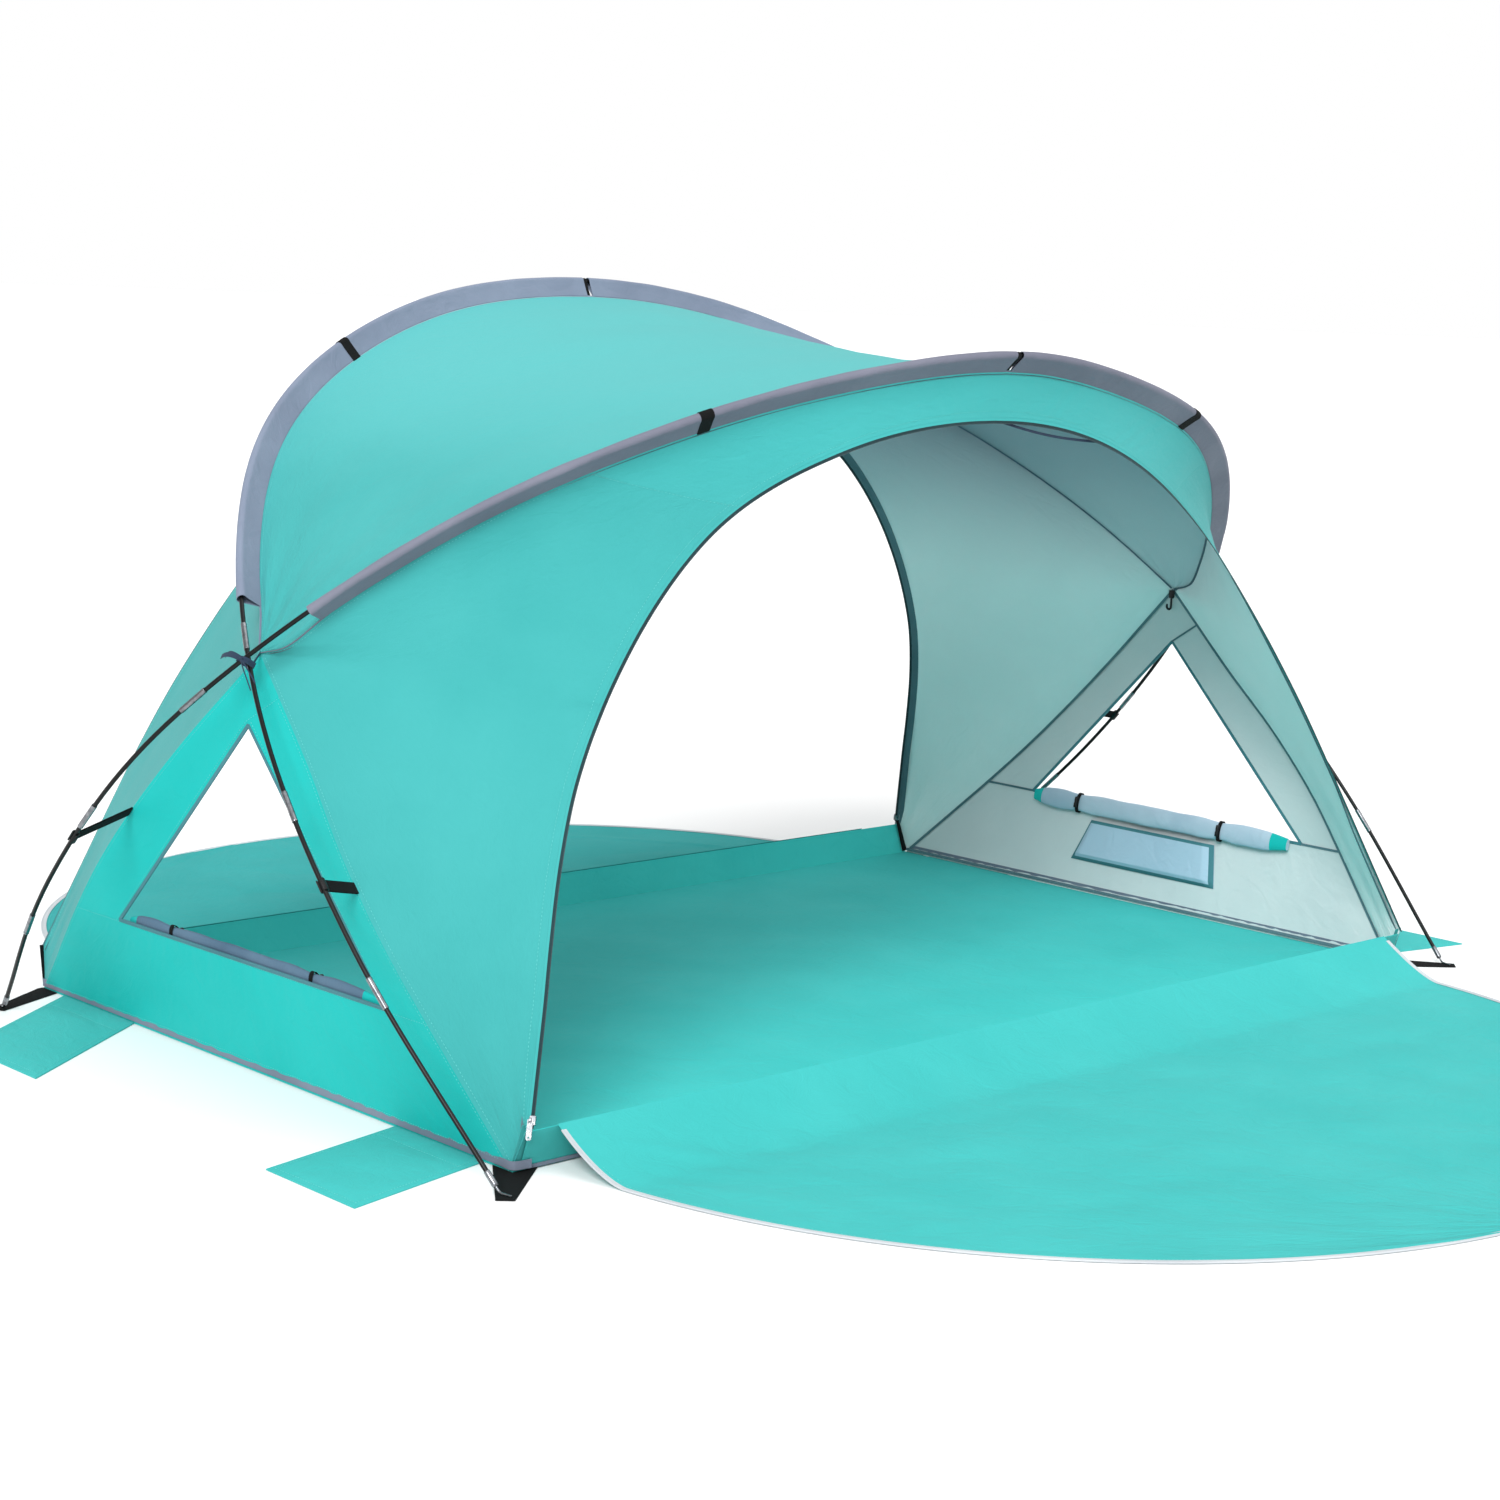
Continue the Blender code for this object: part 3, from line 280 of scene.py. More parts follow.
def ridge_line(shares):
    """A ridge from the ground to the crossing, cut at the shared levels."""
    curve = smooth(np.vstack([crossing, placed(shares, front_height)])[::-1], curve_steps)
    heights = ridge_foot + (crossing[2] - ridge_foot) * ridge_levels
    cut = np.stack([np.interp(heights, curve[:, 2], curve[:, k]) for k in range(3)], axis=-1)
    cut[-1] = crossing
    return cut


front_seam_coarse = seam_line(front_arch, front_crossing_run, front_lead)
rear_seam_coarse = seam_line(rear_arch, rear_crossing_run, rear_lead)
front_ridge_coarse, rear_ridge_coarse = ridge_line(front_ridge_shares), ridge_line(rear_ridge_shares)
front_hoop, rear_hoop = smooth(front_arch, fineness), smooth(rear_arch, fineness)
front_seam, rear_seam = smooth(front_seam_coarse, fineness), smooth(rear_seam_coarse, fineness)
front_ridge, rear_ridge = smooth(front_ridge_coarse, fineness), smooth(rear_ridge_coarse, fineness)
print(f"front hoop {lengths(front_hoop)[-1]:.3f} m, rear hoop {lengths(rear_hoop)[-1]:.3f} m")

# %% [markdown]
# ## Doorway edges
#
# Each face has an arched doorway, whose zip starts with a straight run at the sill. The doorway could
# be cut out of the face with a Boolean. As a line with as many points as the outer seam, it lets the
# face be laid in even rows between the two lines.
# %% Doorway edges
sill_height, sill_lean = 0.070, 0.022
zip_straight = 0.20
door_foot_inset, door_foot_rise = 0.0084, 0.006
front_door_edge_shares = (
    (-0.801, -0.794, 0.483), (-0.551, -0.728, 0.7555), (-0.296, -0.770, 0.872), (0.0, -0.800, 0.911),
)
rear_door_edge_shares = (
    (-0.8375, 0.772, 0.449), (-0.605, 0.689, 0.715), (-0.321, 0.711, 0.864), (0.0, 0.738, 0.8985),
)


def door_edge(shares, height, outer):
    """The doorway's edge, with as many stations as the outer line has. Its first run is straight."""
    way = math.copysign(1.0, shares[0][1])
    start = (door_foot_inset - half_width, way * (half_depth + sill_lean), sill_height + door_foot_rise)
    curve = smooth(whole(np.vstack([start, placed(shares, height)])), curve_steps)
    curve = curve[:len(curve) // 2 + 1]
    curve[-1, 0] = 0.0
    part = lengths(outer) / lengths(outer)[-1] * lengths(curve)[-1]
    edge = at_length(curve, part)
    knee = np.argmin(np.abs(part - zip_straight))
    for i in range(1, knee):
        edge[i] = edge[0] + (edge[knee] - edge[0]) * part[i] / part[knee]
    return edge


front_outer_coarse = np.vstack([front_ridge_coarse, front_seam_coarse[1:]])
rear_outer_coarse = np.vstack([rear_ridge_coarse, rear_seam_coarse[1:]])
front_inner_coarse = door_edge(front_door_edge_shares, front_height, front_outer_coarse)
rear_inner_coarse = door_edge(rear_door_edge_shares, rear_height, rear_outer_coarse)
front_inner, rear_inner = smooth(front_inner_coarse, fineness), smooth(rear_inner_coarse, fineness)
front_outer = np.vstack([front_ridge, front_seam[1:]])
rear_outer = np.vstack([rear_ridge, rear_seam[1:]])
print(f"front doorway edge {2 * lengths(front_inner)[-1]:.2f} m, rear {2 * lengths(rear_inner)[-1]:.2f} m")

# %% [markdown]
# ## Shader groups
#
# Cloth, webbing and plastic share a few effects: a weave, soft creases, slow changes of shade, ribs, a
# fine grain, and a mask that grows with height, which paints light and shade by height. Each effect
# is a node group with named inputs, so a finish only says how large and how deep it wants them. The
# groups put out heights and masks, and the shader itself stays in each material.
# %% A maker of node groups
def node_group(name, inputs, outputs):
    """An empty shader group with named sockets, and its two end nodes."""
    group = bpy.data.node_groups.new(name, "ShaderNodeTree")
    for label, kind, value in inputs:
        socket = group.interface.new_socket(label, in_out="INPUT", socket_type=kind)
        if value is not None:
            socket.default_value = value
    for label in outputs:
        group.interface.new_socket(label, in_out="OUTPUT", socket_type="NodeSocketFloat")
    return group, group.nodes.new("NodeGroupInput"), group.nodes.new("NodeGroupOutput")


def math_node(tree, operation, first, second=None, third=None):
    """A Math node. Each operand is a number or the socket that feeds it."""
    node = tree.nodes.new("ShaderNodeMath")
    node.operation = operation
    for socket, value in zip(node.inputs, (first, second, third)):
        if value is None:
            continue
        if isinstance(value, (int, float)):
            socket.default_value = value
        else:
            tree.links.new(value, socket)
    return node.outputs[0]


print("math nodes take numbers or sockets")
# %% Weave, ribs, creases and shade
def weave_group():
    """A plain weave: two sets of threads that pass over and under each other."""
    group, source, sink = node_group("weave", [
        ("Vector", "NodeSocketVector", None), ("Threads per metre", "NodeSocketFloat", 1600.0)], ["Height"])
    axes = group.nodes.new("ShaderNodeSeparateXYZ")
    group.links.new(source.outputs["Vector"], axes.inputs[0])
    turns = math_node(group, "MULTIPLY", source.outputs["Threads per metre"], math.pi)
    across = math_node(group, "SINE", math_node(group, "MULTIPLY", axes.outputs[0], turns))
    along = math_node(group, "SINE", math_node(group, "MULTIPLY", axes.outputs[1], turns))
    group.links.new(math_node(group, "MULTIPLY_ADD", math_node(group, "MULTIPLY", across, along), 0.5, 0.5),
                    sink.inputs["Height"])
    return group


yarn_share = 0.35


def rib_group():
    """Raised ribs across one direction, as on webbing and zip tape."""
    group, source, sink = node_group("ribs", [
        ("Vector", "NodeSocketVector", None), ("Ribs per metre", "NodeSocketFloat", 500.0)], ["Height"])
    axes = group.nodes.new("ShaderNodeSeparateXYZ")
    group.links.new(source.outputs["Vector"], axes.inputs[0])
    turns = math_node(group, "MULTIPLY", source.outputs["Ribs per metre"], 2 * math.pi)
    ridge = math_node(group, "SINE", math_node(group, "MULTIPLY", axes.outputs[0], turns))
    yarn = math_node(group, "SINE", math_node(group, "MULTIPLY", axes.outputs[1], turns))
    both = math_node(group, "MULTIPLY_ADD", yarn, yarn_share, math_node(group, "ABSOLUTE", ridge))
    group.links.new(both, sink.inputs["Height"])
    return group


def noise_group(name, label, detail, distortion, low, high):
    """Noise of a given size in metres, stretched between a low and a high value."""
    group, source, sink = node_group(name, [
        ("Vector", "NodeSocketVector", None), ("Size", "NodeSocketFloat", 0.1)], [label])
    noise = group.nodes.new("ShaderNodeTexNoise")
    noise.inputs["Detail"].default_value = detail
    noise.inputs["Distortion"].default_value = distortion
    group.links.new(source.outputs["Vector"], noise.inputs["Vector"])
    group.links.new(math_node(group, "DIVIDE", 1.0, source.outputs["Size"]), noise.inputs["Scale"])
    spread = group.nodes.new("ShaderNodeMapRange")
    spread.inputs["From Min"].default_value = low
    spread.inputs["From Max"].default_value = high
    group.links.new(noise.outputs[0], spread.inputs["Value"])
    group.links.new(spread.outputs["Result"], sink.inputs[label])
    return group


# This mask paints light and shade by height: finishes blend to a lighter or darker colour towards the top.
def height_group():
    """0 below one height, 1 above another, and smooth between them."""
    group, source, sink = node_group("height", [
        ("Vector", "NodeSocketVector", None), ("Low", "NodeSocketFloat", 0.8), ("High", "NodeSocketFloat", 1.2)],
        ["Mask"])
    axes = group.nodes.new("ShaderNodeSeparateXYZ")
    group.links.new(source.outputs["Vector"], axes.inputs[0])
    rise = group.nodes.new("ShaderNodeMapRange")
    rise.interpolation_type = "SMOOTHSTEP"
    group.links.new(axes.outputs["Z"], rise.inputs["Value"])
    group.links.new(source.outputs["Low"], rise.inputs["From Min"])
    group.links.new(source.outputs["High"], rise.inputs["From Max"])
    group.links.new(rise.outputs["Result"], sink.inputs["Mask"])
    return group


groups = {
    "height": height_group(),
    "weave": weave_group(),
    "ribs": rib_group(),
    "creases": noise_group("creases", "Height", 3.0, 1.2, 0.3, 0.7),
    "shade": noise_group("shade", "Mask", 4.0, 0.3, 0.32, 0.68),
    "grain": noise_group("grain", "Height", 6.0, 0.0, 0.25, 0.75),
}
print("shader groups:", ", ".join(groups))

# %% [markdown]
# ## A maker of finishes
#
# No real surface is one flat colour. Each finish mixes a light and a dark shade by a slow mask and
# stacks its bumps. Photographs of cloth could do this too, but such patterns stay sharp at any
# distance and need no image file.
# %% A maker of finishes
def effect(tree, name, vector, *values):
    """A shader group in a material, fed with coordinates and with the values after its vector."""
    node = tree.nodes.new("ShaderNodeGroup")
    node.node_tree = groups[name]
    tree.links.new(vector, node.inputs["Vector"])
    for socket, value in zip(node.inputs[1:], values):
        socket.default_value = value
    return node.outputs[0]


def mixed(tree, mask, lower, upper):
    """Two shades mixed by a mask. The lower one may be a mix itself."""
    mix = tree.nodes.new("ShaderNodeMix")
    mix.data_type = "RGBA"
    tree.links.new(mask, mix.inputs["Factor"])
    # A Mix node has sockets for every data type. 6 and 7 are its colours, and output 2 is the mixed one.
    if isinstance(lower, tuple):
        mix.inputs[6].default_value = lower
    else:
        tree.links.new(lower, mix.inputs[6])
    mix.inputs[7].default_value = upper
    return mix.outputs[2]


def finish(name, light, dark, roughness, bumps, vector="UV", shade_size=0.25, metallic=0.0, sheen=0.0,
           specular=0.5, rough_spread=0.06, ridge=None, heights=(0.95, 1.22)):
    """A material. bumps is a list of (group, its size or count, depth in metres), and ridge is the
    colour painted towards the top, from the lower height to the upper one: painted light where it is
    lighter, painted shade where it is darker."""
    made = bpy.data.materials.new(name)
    made.use_nodes = True
    tree = made.node_tree
    shader = tree.nodes["Principled BSDF"]
    place = tree.nodes.new("ShaderNodeTexCoord")
    mask = effect(tree, "shade", place.outputs["Object"], shade_size)
    paint = mixed(tree, mask, colour(*dark), colour(*light))
    # Painted light and shade by height: towards the top the colour blends to the ridge colour.
    if ridge:
        rise = effect(tree, "height", place.outputs["Object"], *heights)
        paint = mixed(tree, rise, paint, colour(*ridge))
    tree.links.new(paint, shader.inputs["Base Color"])
    spread = math_node(tree, "MULTIPLY_ADD", mask, -rough_spread, roughness + rough_spread / 2)
    tree.links.new(spread, shader.inputs["Roughness"])
    for label, value in (("Metallic", metallic), ("Sheen Weight", sheen), ("Specular IOR Level", specular)):
        shader.inputs[label].default_value = value
    below = None
    for group_name, size, depth in bumps:
        bump = tree.nodes.new("ShaderNodeBump")
        bump.inputs["Distance"].default_value = depth
        tree.links.new(effect(tree, group_name, place.outputs[vector], size), bump.inputs["Height"])
        if below is not None:
            tree.links.new(below, bump.inputs["Normal"])
        below = bump.outputs["Normal"]
    if below is not None:
        tree.links.new(below, shader.inputs["Normal"])
    return made


crease_size, threads, thread_depth = 0.055, 1500.0, 0.00012


def taffeta(name, light, dark, roughness=0.66, creases=0.0006, sheen=0.04, specular=0.16, **more):
    """Thin woven polyester with a fine weave and small soft creases."""
    bumps = [("creases", crease_size, creases), ("weave", threads, thread_depth)]
    return finish(name, light, dark, roughness, bumps, sheen=sheen, specular=specular, **more)


print("a finish mixes two shades and stacks its bumps")

# %% [markdown]
# ## Cloth of the canopy
#
# The canopy is a turquoise polyester with a slight sheen, and its room side has a pale grey coating.
# The outside is painted lighter towards the top, a painted highlight, and the room side darker towards
# the top, painted shade. The roof takes a lighter copy of the cloth, a painted highlight, and a darker
# copy of the coating, painted shade. The sleeves are blue-grey, and the front sleeve takes a darker
# copy, painted shade. The left window roll takes a darker copy of the roll cloth, painted shade. All
# are one weave, so one function makes them and only the shades are given.
# %% Finishes of the canopy
lining = {"roughness": 0.75, "sheen": 0.0}
# Painted highlight: the outside turns lighter towards the top.
canopy_cloth = taffeta("canopy_cloth", (62, 164, 163), (56, 158, 157), sheen=0.08, ridge=(70, 185, 184))
# A lighter copy of the canopy cloth for the roof, a painted highlight, lighter still towards the top.
roof_cloth = taffeta("roof_cloth", (66, 167, 166), (60, 161, 160), sheen=0.08, ridge=(80, 177, 177))
# Painted shade: the room side turns darker towards the top.
canopy_lining = taffeta("canopy_lining", (236, 248, 248), (229, 243, 243), ridge=(162, 176, 185),
                        heights=(0.68, 1.14), **lining)
# A darker copy of the coating for the roof's room side, painted shade, darker still towards the top.
roof_lining_painted_shade = taffeta("roof_lining_painted_shade", (200, 212, 217), (192, 205, 211), ridge=(146, 157, 168),
                      heights=(0.78, 1.16), **lining)
side_cloth = taffeta("side_cloth", (19, 183, 178), (15, 177, 172))
side_lining = taffeta("side_lining", (206, 216, 217), (198, 209, 211), **lining)
sleeve_cloth = taffeta("sleeve_cloth", (130, 141, 161), (117, 127, 147), creases=0.0012)
# A darker copy of the sleeve cloth for the front sleeve: painted shade.
front_sleeve_cloth = taffeta("front_sleeve_cloth", (122, 124, 139), (109, 111, 126), creases=0.0012)
pocket_cloth = taffeta("pocket_cloth", (174, 200, 218), (165, 192, 211), creases=0.0014)
roll_cloth = taffeta("roll_cloth", (186, 204, 218), (158, 180, 198), creases=0.0016)
# A darker copy of the roll cloth for the left roll: painted shade.
roll_outside = taffeta("roll_outside", (92, 119, 140), (68, 94, 116), creases=0.0016)

# %% [markdown]
# ## Cloth of the floor
#
# The floor, doors and flaps are of a heavier, more crumpled cloth without a sheen. It is the same
# function with deeper creases and less gloss. The sills, the floor inside and the rear door take
# lighter and darker copies of the door's cloth: the front sill and the rear door are painted shade,
# the rear sill and the floor inside are painted light.
# %% Finishes of the floor, doors and flaps
matt = {"roughness": 0.7, "specular": 0.08}
crumpled = {**matt, "creases": 0.0010}
# Painted shade: a darker copy of the cloth for the front sill.
front_sill_painted_shade = taffeta("front_sill_painted_shade", (62, 170, 167), (58, 165, 162), **matt)
# Painted light: a lighter copy of the cloth for the rear sill.
rear_sill_painted_light = taffeta("rear_sill_painted_light", (84, 226, 220), (78, 219, 214), **crumpled)
# Painted light: a lighter copy of the cloth for the floor inside.
floor_painted_light = taffeta("floor_painted_light", (66, 201, 197), (60, 195, 191), **crumpled)
ground_cloth = taffeta("ground_cloth", (67, 185, 182), (62, 180, 177), **crumpled)
# Painted shade: a darker copy of the cloth for the rear door.
rear_ground_cloth = taffeta("rear_ground_cloth", (50, 164, 163), (45, 157, 156), **crumpled)

# %% [markdown]
# ## Webbing and ribbons
#
# Bindings, webbing and zip tape are woven narrow, with ribs across them. The ribs could be modelled,
# but there are thousands of them, so a bump along the UV map stands for them.
# %% Finishes of webbing and ribbons
def ribbed(name, light, dark, count=600.0, depth=0.0003, roughness=0.8, specular=0.5):
    """A woven tape with ribs across it, as many to the metre as count says."""
    return finish(name, light, dark, roughness, [("ribs", count, depth)], specular=specular)


binding_cloth = ribbed("binding_cloth", (96, 130, 140), (78, 112, 122))
window_edge_cloth = ribbed("window_edge_cloth", (74, 136, 146), (60, 120, 130))
hem_cloth = ribbed("hem_cloth", (214, 219, 222), (196, 202, 207), 500.0)
edge_cloth = ribbed("edge_cloth", (128, 138, 156), (110, 120, 138), 500.0)
webbing_cloth = ribbed("webbing_cloth", (22, 23, 25), (13, 14, 15), 420.0, 0.0006, 0.85, 0.2)
ribbon_cloth = ribbed("ribbon_cloth", (38, 62, 92), (26, 44, 68), 700.0, roughness=0.7)
tape_cloth = ribbed("tape_cloth", (26, 62, 68), (18, 50, 56), 900.0)

# %% [markdown]
# ## Plastic, steel and thread
#
# The hard fittings are small, and their grain is seen only where it breaks up a highlight. A fine
# noise does that in a bump and in the roughness.
# %% Finishes of plastic, steel, elastic and thread
def grained(name, light, dark, roughness, size, depth, shade_size=0.01, **more):
    """A hard or stringy surface with a fine grain of a given size and depth in metres."""
    return finish(name, light, dark, roughness, [("grain", size, depth)], "Object", shade_size, **more)


coil_plastic = grained("coil_plastic", (84, 98, 104), (66, 80, 86), 0.4, 0.002, 0.00005, 0.25)
plastic = grained("plastic", (20, 21, 22), (13, 14, 15), 0.45, 0.0015, 0.00006, 0.02, specular=0.3)
rod_gloss = grained("rod_gloss", (17, 18, 19), (9, 10, 11), 0.35, 0.004, 0.00004, 0.05, specular=0.25)
steel = grained("steel", (150, 152, 156), (112, 115, 120), 0.28, 0.003, 0.00003, metallic=1.0, rough_spread=0.14)
elastic = grained("elastic", (226, 226, 222), (206, 206, 202), 0.85, 0.001, 0.0002)
thread = grained("thread", (106, 206, 202), (84, 184, 180), 0.7, 0.0006, 0.00005)
print("finishes:", len(bpy.data.materials))

# %% [markdown]
# ## Meshes from grids and sections
#
# Nearly every piece is one of two forms. A sheet is a grid of points with a thin wall behind it. A
# tube is a section that runs along a path. Both keep a UV map in metres, so that a weave or a rib has
# the same size on every piece. Parts are plain arrays first, and a piece joins one or more of them.
# %% Sheets and tubes
cloth_thickness = 0.0012


def facing_out(vertices, faces, marks, uv):
    """The part itself, or the part with all its faces turned where they would point inwards."""
    quads = np.array([face for face in faces if len(face) == 4])
    a, b, c, d = (vertices[quads[:, k]] for k in range(4))
    volume = np.sum(a * (np.cross(b, c) + np.cross(c, d)))
    for face in faces:
        if len(face) != 4:
            fan = vertices[face]
            volume += sum(np.dot(fan[0], np.cross(fan[k], fan[k + 1])) for k in range(1, len(fan) - 1))
    return vertices, faces if volume > 0 else [face[::-1] for face in faces], marks, uv


def sheet_part(grid, back, thickness=cloth_thickness, lining=1):
    """A closed thin sheet: the grid, and a second one moved by thickness along back."""
    rows, columns = grid.shape[:2]
    back = np.broadcast_to(back, grid.shape)
    vertices = np.vstack([grid.reshape(-1, 3), (grid + back * thickness).reshape(-1, 3)])
    index = np.arange(rows * columns).reshape(rows, columns)
    quads = np.stack([index[:-1, :-1], index[1:, :-1], index[1:, 1:], index[:-1, 1:]], axis=-1).reshape(-1, 4)
    widest = np.argmax(np.linalg.norm(grid[:, -1] - grid[:, 0], axis=1))
    u = np.broadcast_to(lengths(grid[widest])[None, :], (rows, columns))
    v = np.broadcast_to(lengths(grid[:, columns // 2])[:, None], (rows, columns))
    uv = np.stack([u, v], axis=-1).reshape(-1, 2)
    rim = np.concatenate([index[0, :-1], index[:-1, -1], index[-1, :0:-1], index[:0:-1, 0]])
    following = np.roll(rim, -1)
    size = rows * columns
    walls = np.stack([rim, following, following + size, rim + size], axis=-1)
    faces = np.vstack([quads, quads[:, ::-1] + size, walls])
    marks = np.concatenate([np.zeros(len(quads), int), np.full(len(quads), lining), np.zeros(len(walls), int)])
    return facing_out(vertices, faces.tolist(), marks, np.vstack([uv, uv]))


def rings(path, reference, section, scale=1.0):
    """The section's points set up at each point of the path."""
    _, sides, ups = frames_along(path, reference)
    section = np.asarray(section, float)
    scale = np.broadcast_to(np.asarray(scale, float), (len(path),))[:, None, None]
    if section.ndim == 2:
        section = np.broadcast_to(section, (len(path), *section.shape))
    return path[:, None] + (sides[:, None] * section[..., 0:1] + ups[:, None] * section[..., 1:2]) * scale


def tube_part(path, reference, section, scale=1.0, bore=None, mark=0):
    """A section along a path, hollow where a bore section is given. Sections run counter-clockwise."""
    path = np.asarray(path, float)
    outer = rings(path, reference, section, scale)
    count, size = outer.shape[:2]
    run = lengths(path)
    girth = lengths(np.vstack([outer[0], outer[:1, 0]]))[:-1]
    uv = np.stack(np.broadcast_arrays(run[:, None], girth[None, :]), axis=-1).reshape(-1, 2)
    index = np.arange(count * size).reshape(count, size)
    nearby = np.roll(index, -1, axis=1)
    wall = np.stack([index[:-1], index[1:], nearby[1:], nearby[:-1]], axis=-1).reshape(-1, 4)
    faces = wall.tolist()
    vertices = outer.reshape(-1, 3)
    if bore is None:
        faces += [index[0].tolist(), index[-1][::-1].tolist()]
    else:
        base = len(vertices)
        vertices = np.vstack([vertices, rings(path, reference, bore, scale).reshape(-1, 3)])
        uv = np.vstack([uv, uv])
        faces += (wall[:, ::-1] + base).tolist()
        start = np.stack([index[0], nearby[0], nearby[0] + base, index[0] + base], axis=-1)
        end = np.stack([nearby[-1], index[-1], index[-1] + base, nearby[-1] + base], axis=-1)
        faces += start.tolist() + end.tolist()
    return facing_out(vertices, faces, np.full(len(faces), mark), uv)


def circle(radius, sides, flat=1.0):
    """A round section, or an oval one where flat is below 1."""
    angles = np.arange(sides) * 2 * math.pi / sides
    return np.stack([radius * np.cos(angles), radius * flat * np.sin(angles)], axis=1)


sample = np.zeros((3, 3, 3)) + np.arange(3)[:, None, None]
print("a sheet of 3 by 3 points has", len(sheet_part(sample, (0, 0, 1))[1]), "faces")

# %% [markdown]
# ## Joining parts
#
# A fitting of two materials could be two objects. One mesh is simpler, because it rides on one body,
# and each part's marks say which finish its faces take. Most of the tent is the same on both sides,
# so parts are built on the left and mirrored.
# %% Join parts into a piece
sharp_angle = 40


def riding(name, mesh, body):
    """A mesh as an object that rides on a body."""
    made = bpy.data.objects.new(name, mesh)
    bpy.context.scene.collection.objects.link(made)
    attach(made, body)
    return made


def piece(name, parts, finishes, body="root", replaces=()):
    """Joins parts into one mesh object that rides on a body."""
    vertices, faces, marks, uvs, base = [], [], [], [], 0
    for part_vertices, part_faces, part_marks, part_uv in parts:
        vertices.append(part_vertices)
        faces += [[k + base for k in face] for face in part_faces]
        marks.append(part_marks)
        uvs.append(part_uv)
        base += len(part_vertices)
    mesh = bpy.data.meshes.new(name)
    mesh.from_pydata(np.vstack(vertices).tolist(), [], faces)
    layer = mesh.uv_layers.new(name="UVMap")
    corners = np.zeros(len(mesh.loops), np.int32)
    mesh.loops.foreach_get("vertex_index", corners)
    layer.data.foreach_set("uv", np.vstack(uvs)[corners].astype(np.float32).ravel())
    mesh.polygons.foreach_set("material_index", np.concatenate(marks).astype(np.int32))
    for paint in finishes:
        mesh.materials.append(paint)
    mesh.shade_smooth()
    mesh.set_sharp_from_angle(angle=math.radians(sharp_angle))
    mesh.update()
    made = riding(name, mesh, body)
    if replaces:
        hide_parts(*replaces)
    return made


def turned(part):
    """The mirror image of a part, with its faces turned so that they still point outwards."""
    vertices, faces, marks, uv = part
    return mirrored(vertices), [face[::-1] for face in faces], marks, uv


sides = {"left": lambda part: part, "right": turned}


def pair(name, parts, finishes, replaces=None):
    """A piece on the left and its mirror image on the right, each named by its side."""
    for side, place in sides.items():
        nodes = (f"{replaces}_{side}",) if replaces else ()
        piece(f"{name}_{side}", [place(part) for part in parts], finishes, "root", nodes)


print("pieces can be mirrored:", list(sides))

# %% [markdown]
# ## Soft relief
#
# Sewn cloth swells between its seams and puckers beside them. A cloth simulation could find these
# folds, but taut panels hardly move and their borders have to stay on the seams. A few waves that
# fade at the border are enough.
# %% Soft relief for cloth
swell_count, pucker_count = 9, 5
swell_sizes, pucker_spread = (0.16, 0.55), (0.7, 2.0)


def relief(grid, seed, swell=0.0012, pucker=0.0006, border=0.05, pitch=0.03):
    """Small heights for a grid: slow swells between its borders, and puckers beside the seams."""
    rng = np.random.default_rng(seed)
    u = lengths(grid[grid.shape[0] // 2])[None, :]
    v = lengths(grid[:, grid.shape[1] // 2])[:, None]
    edge = np.minimum(np.minimum(u, u[:, -1:] - u), np.minimum(v, v[-1:] - v))
    height = np.zeros(grid.shape[:2])
    for _ in range(swell_count):
        way, size, phase = rng.uniform(0, math.pi), rng.uniform(*swell_sizes), rng.uniform(0, 2 * math.pi)
        height += np.sin((u * math.cos(way) + v * math.sin(way)) * 2 * math.pi / size + phase) / 3
    height *= swell * np.clip(edge / border, 0.0, 1.0)
    along = np.where(np.minimum(u, u[:, -1:] - u) < np.minimum(v, v[-1:] - v), v, u)
    wave = np.zeros(grid.shape[:2])
    for _ in range(pucker_count):
        wave += np.sin(along * 2 * math.pi / (pitch * rng.uniform(*pucker_spread)) + rng.uniform(0, 2 * math.pi)) / 2
    near = edge / border
    return height + pucker * wave * near * np.exp(1.0 - near * 2)


def grid_normals(grid, towards):
    """Unit normals of a grid of points, on the side of the given directions."""
    normal = unit(np.cross(np.gradient(grid, axis=0), np.gradient(grid, axis=1)) + 1e-12)
    return normal * np.sign(np.sum(normal * towards, axis=-1, keepdims=True) + 1e-9)


def ruled(first, second, steps, sag=0.0):
    """A grid between two lines of equal count, with an even sag towards the room in the middle."""
    across = np.linspace(0.0, 1.0, steps + 1)
    grid = first[:, None] + (second - first)[:, None] * across[None, :, None]
    dip = sag * np.sin(np.pi * across)[None, :, None] * np.linalg.norm(second - first, axis=-1)[:, None, None]
    return grid + inward(grid) * dip


def relaxed(grid, rounds):
    """The grid as taut cloth: each inner point moves to the middle of its neighbours, time and again."""
    grid = grid.copy()
    for _ in range(rounds):
        grid[1:-1, 1:-1] = (grid[:-2, 1:-1] + grid[2:, 1:-1] + grid[1:-1, :-2] + grid[1:-1, 2:]) / 4
    return grid


surfaces = {}


def panel_part(name, grid, seed):
    """A sewn panel: the grid with its relief, and the lining towards the room. Its surface is noted."""
    into = grid_normals(grid, inward(grid))
    grid = grid + into * relief(grid, seed)[..., None]
    surfaces[name] = grid, into
    return sheet_part(grid, into)


def sheet_area(part):
    """Half the surface of a thin closed sheet, which is the cloth's own area."""
    vertices, faces = part[0], np.array([face for face in part[1] if len(face) == 4])
    a, b = vertices[faces[:, 2]] - vertices[faces[:, 0]], vertices[faces[:, 3]] - vertices[faces[:, 1]]
    return float(np.linalg.norm(np.cross(a, b), axis=1).sum() / 4)


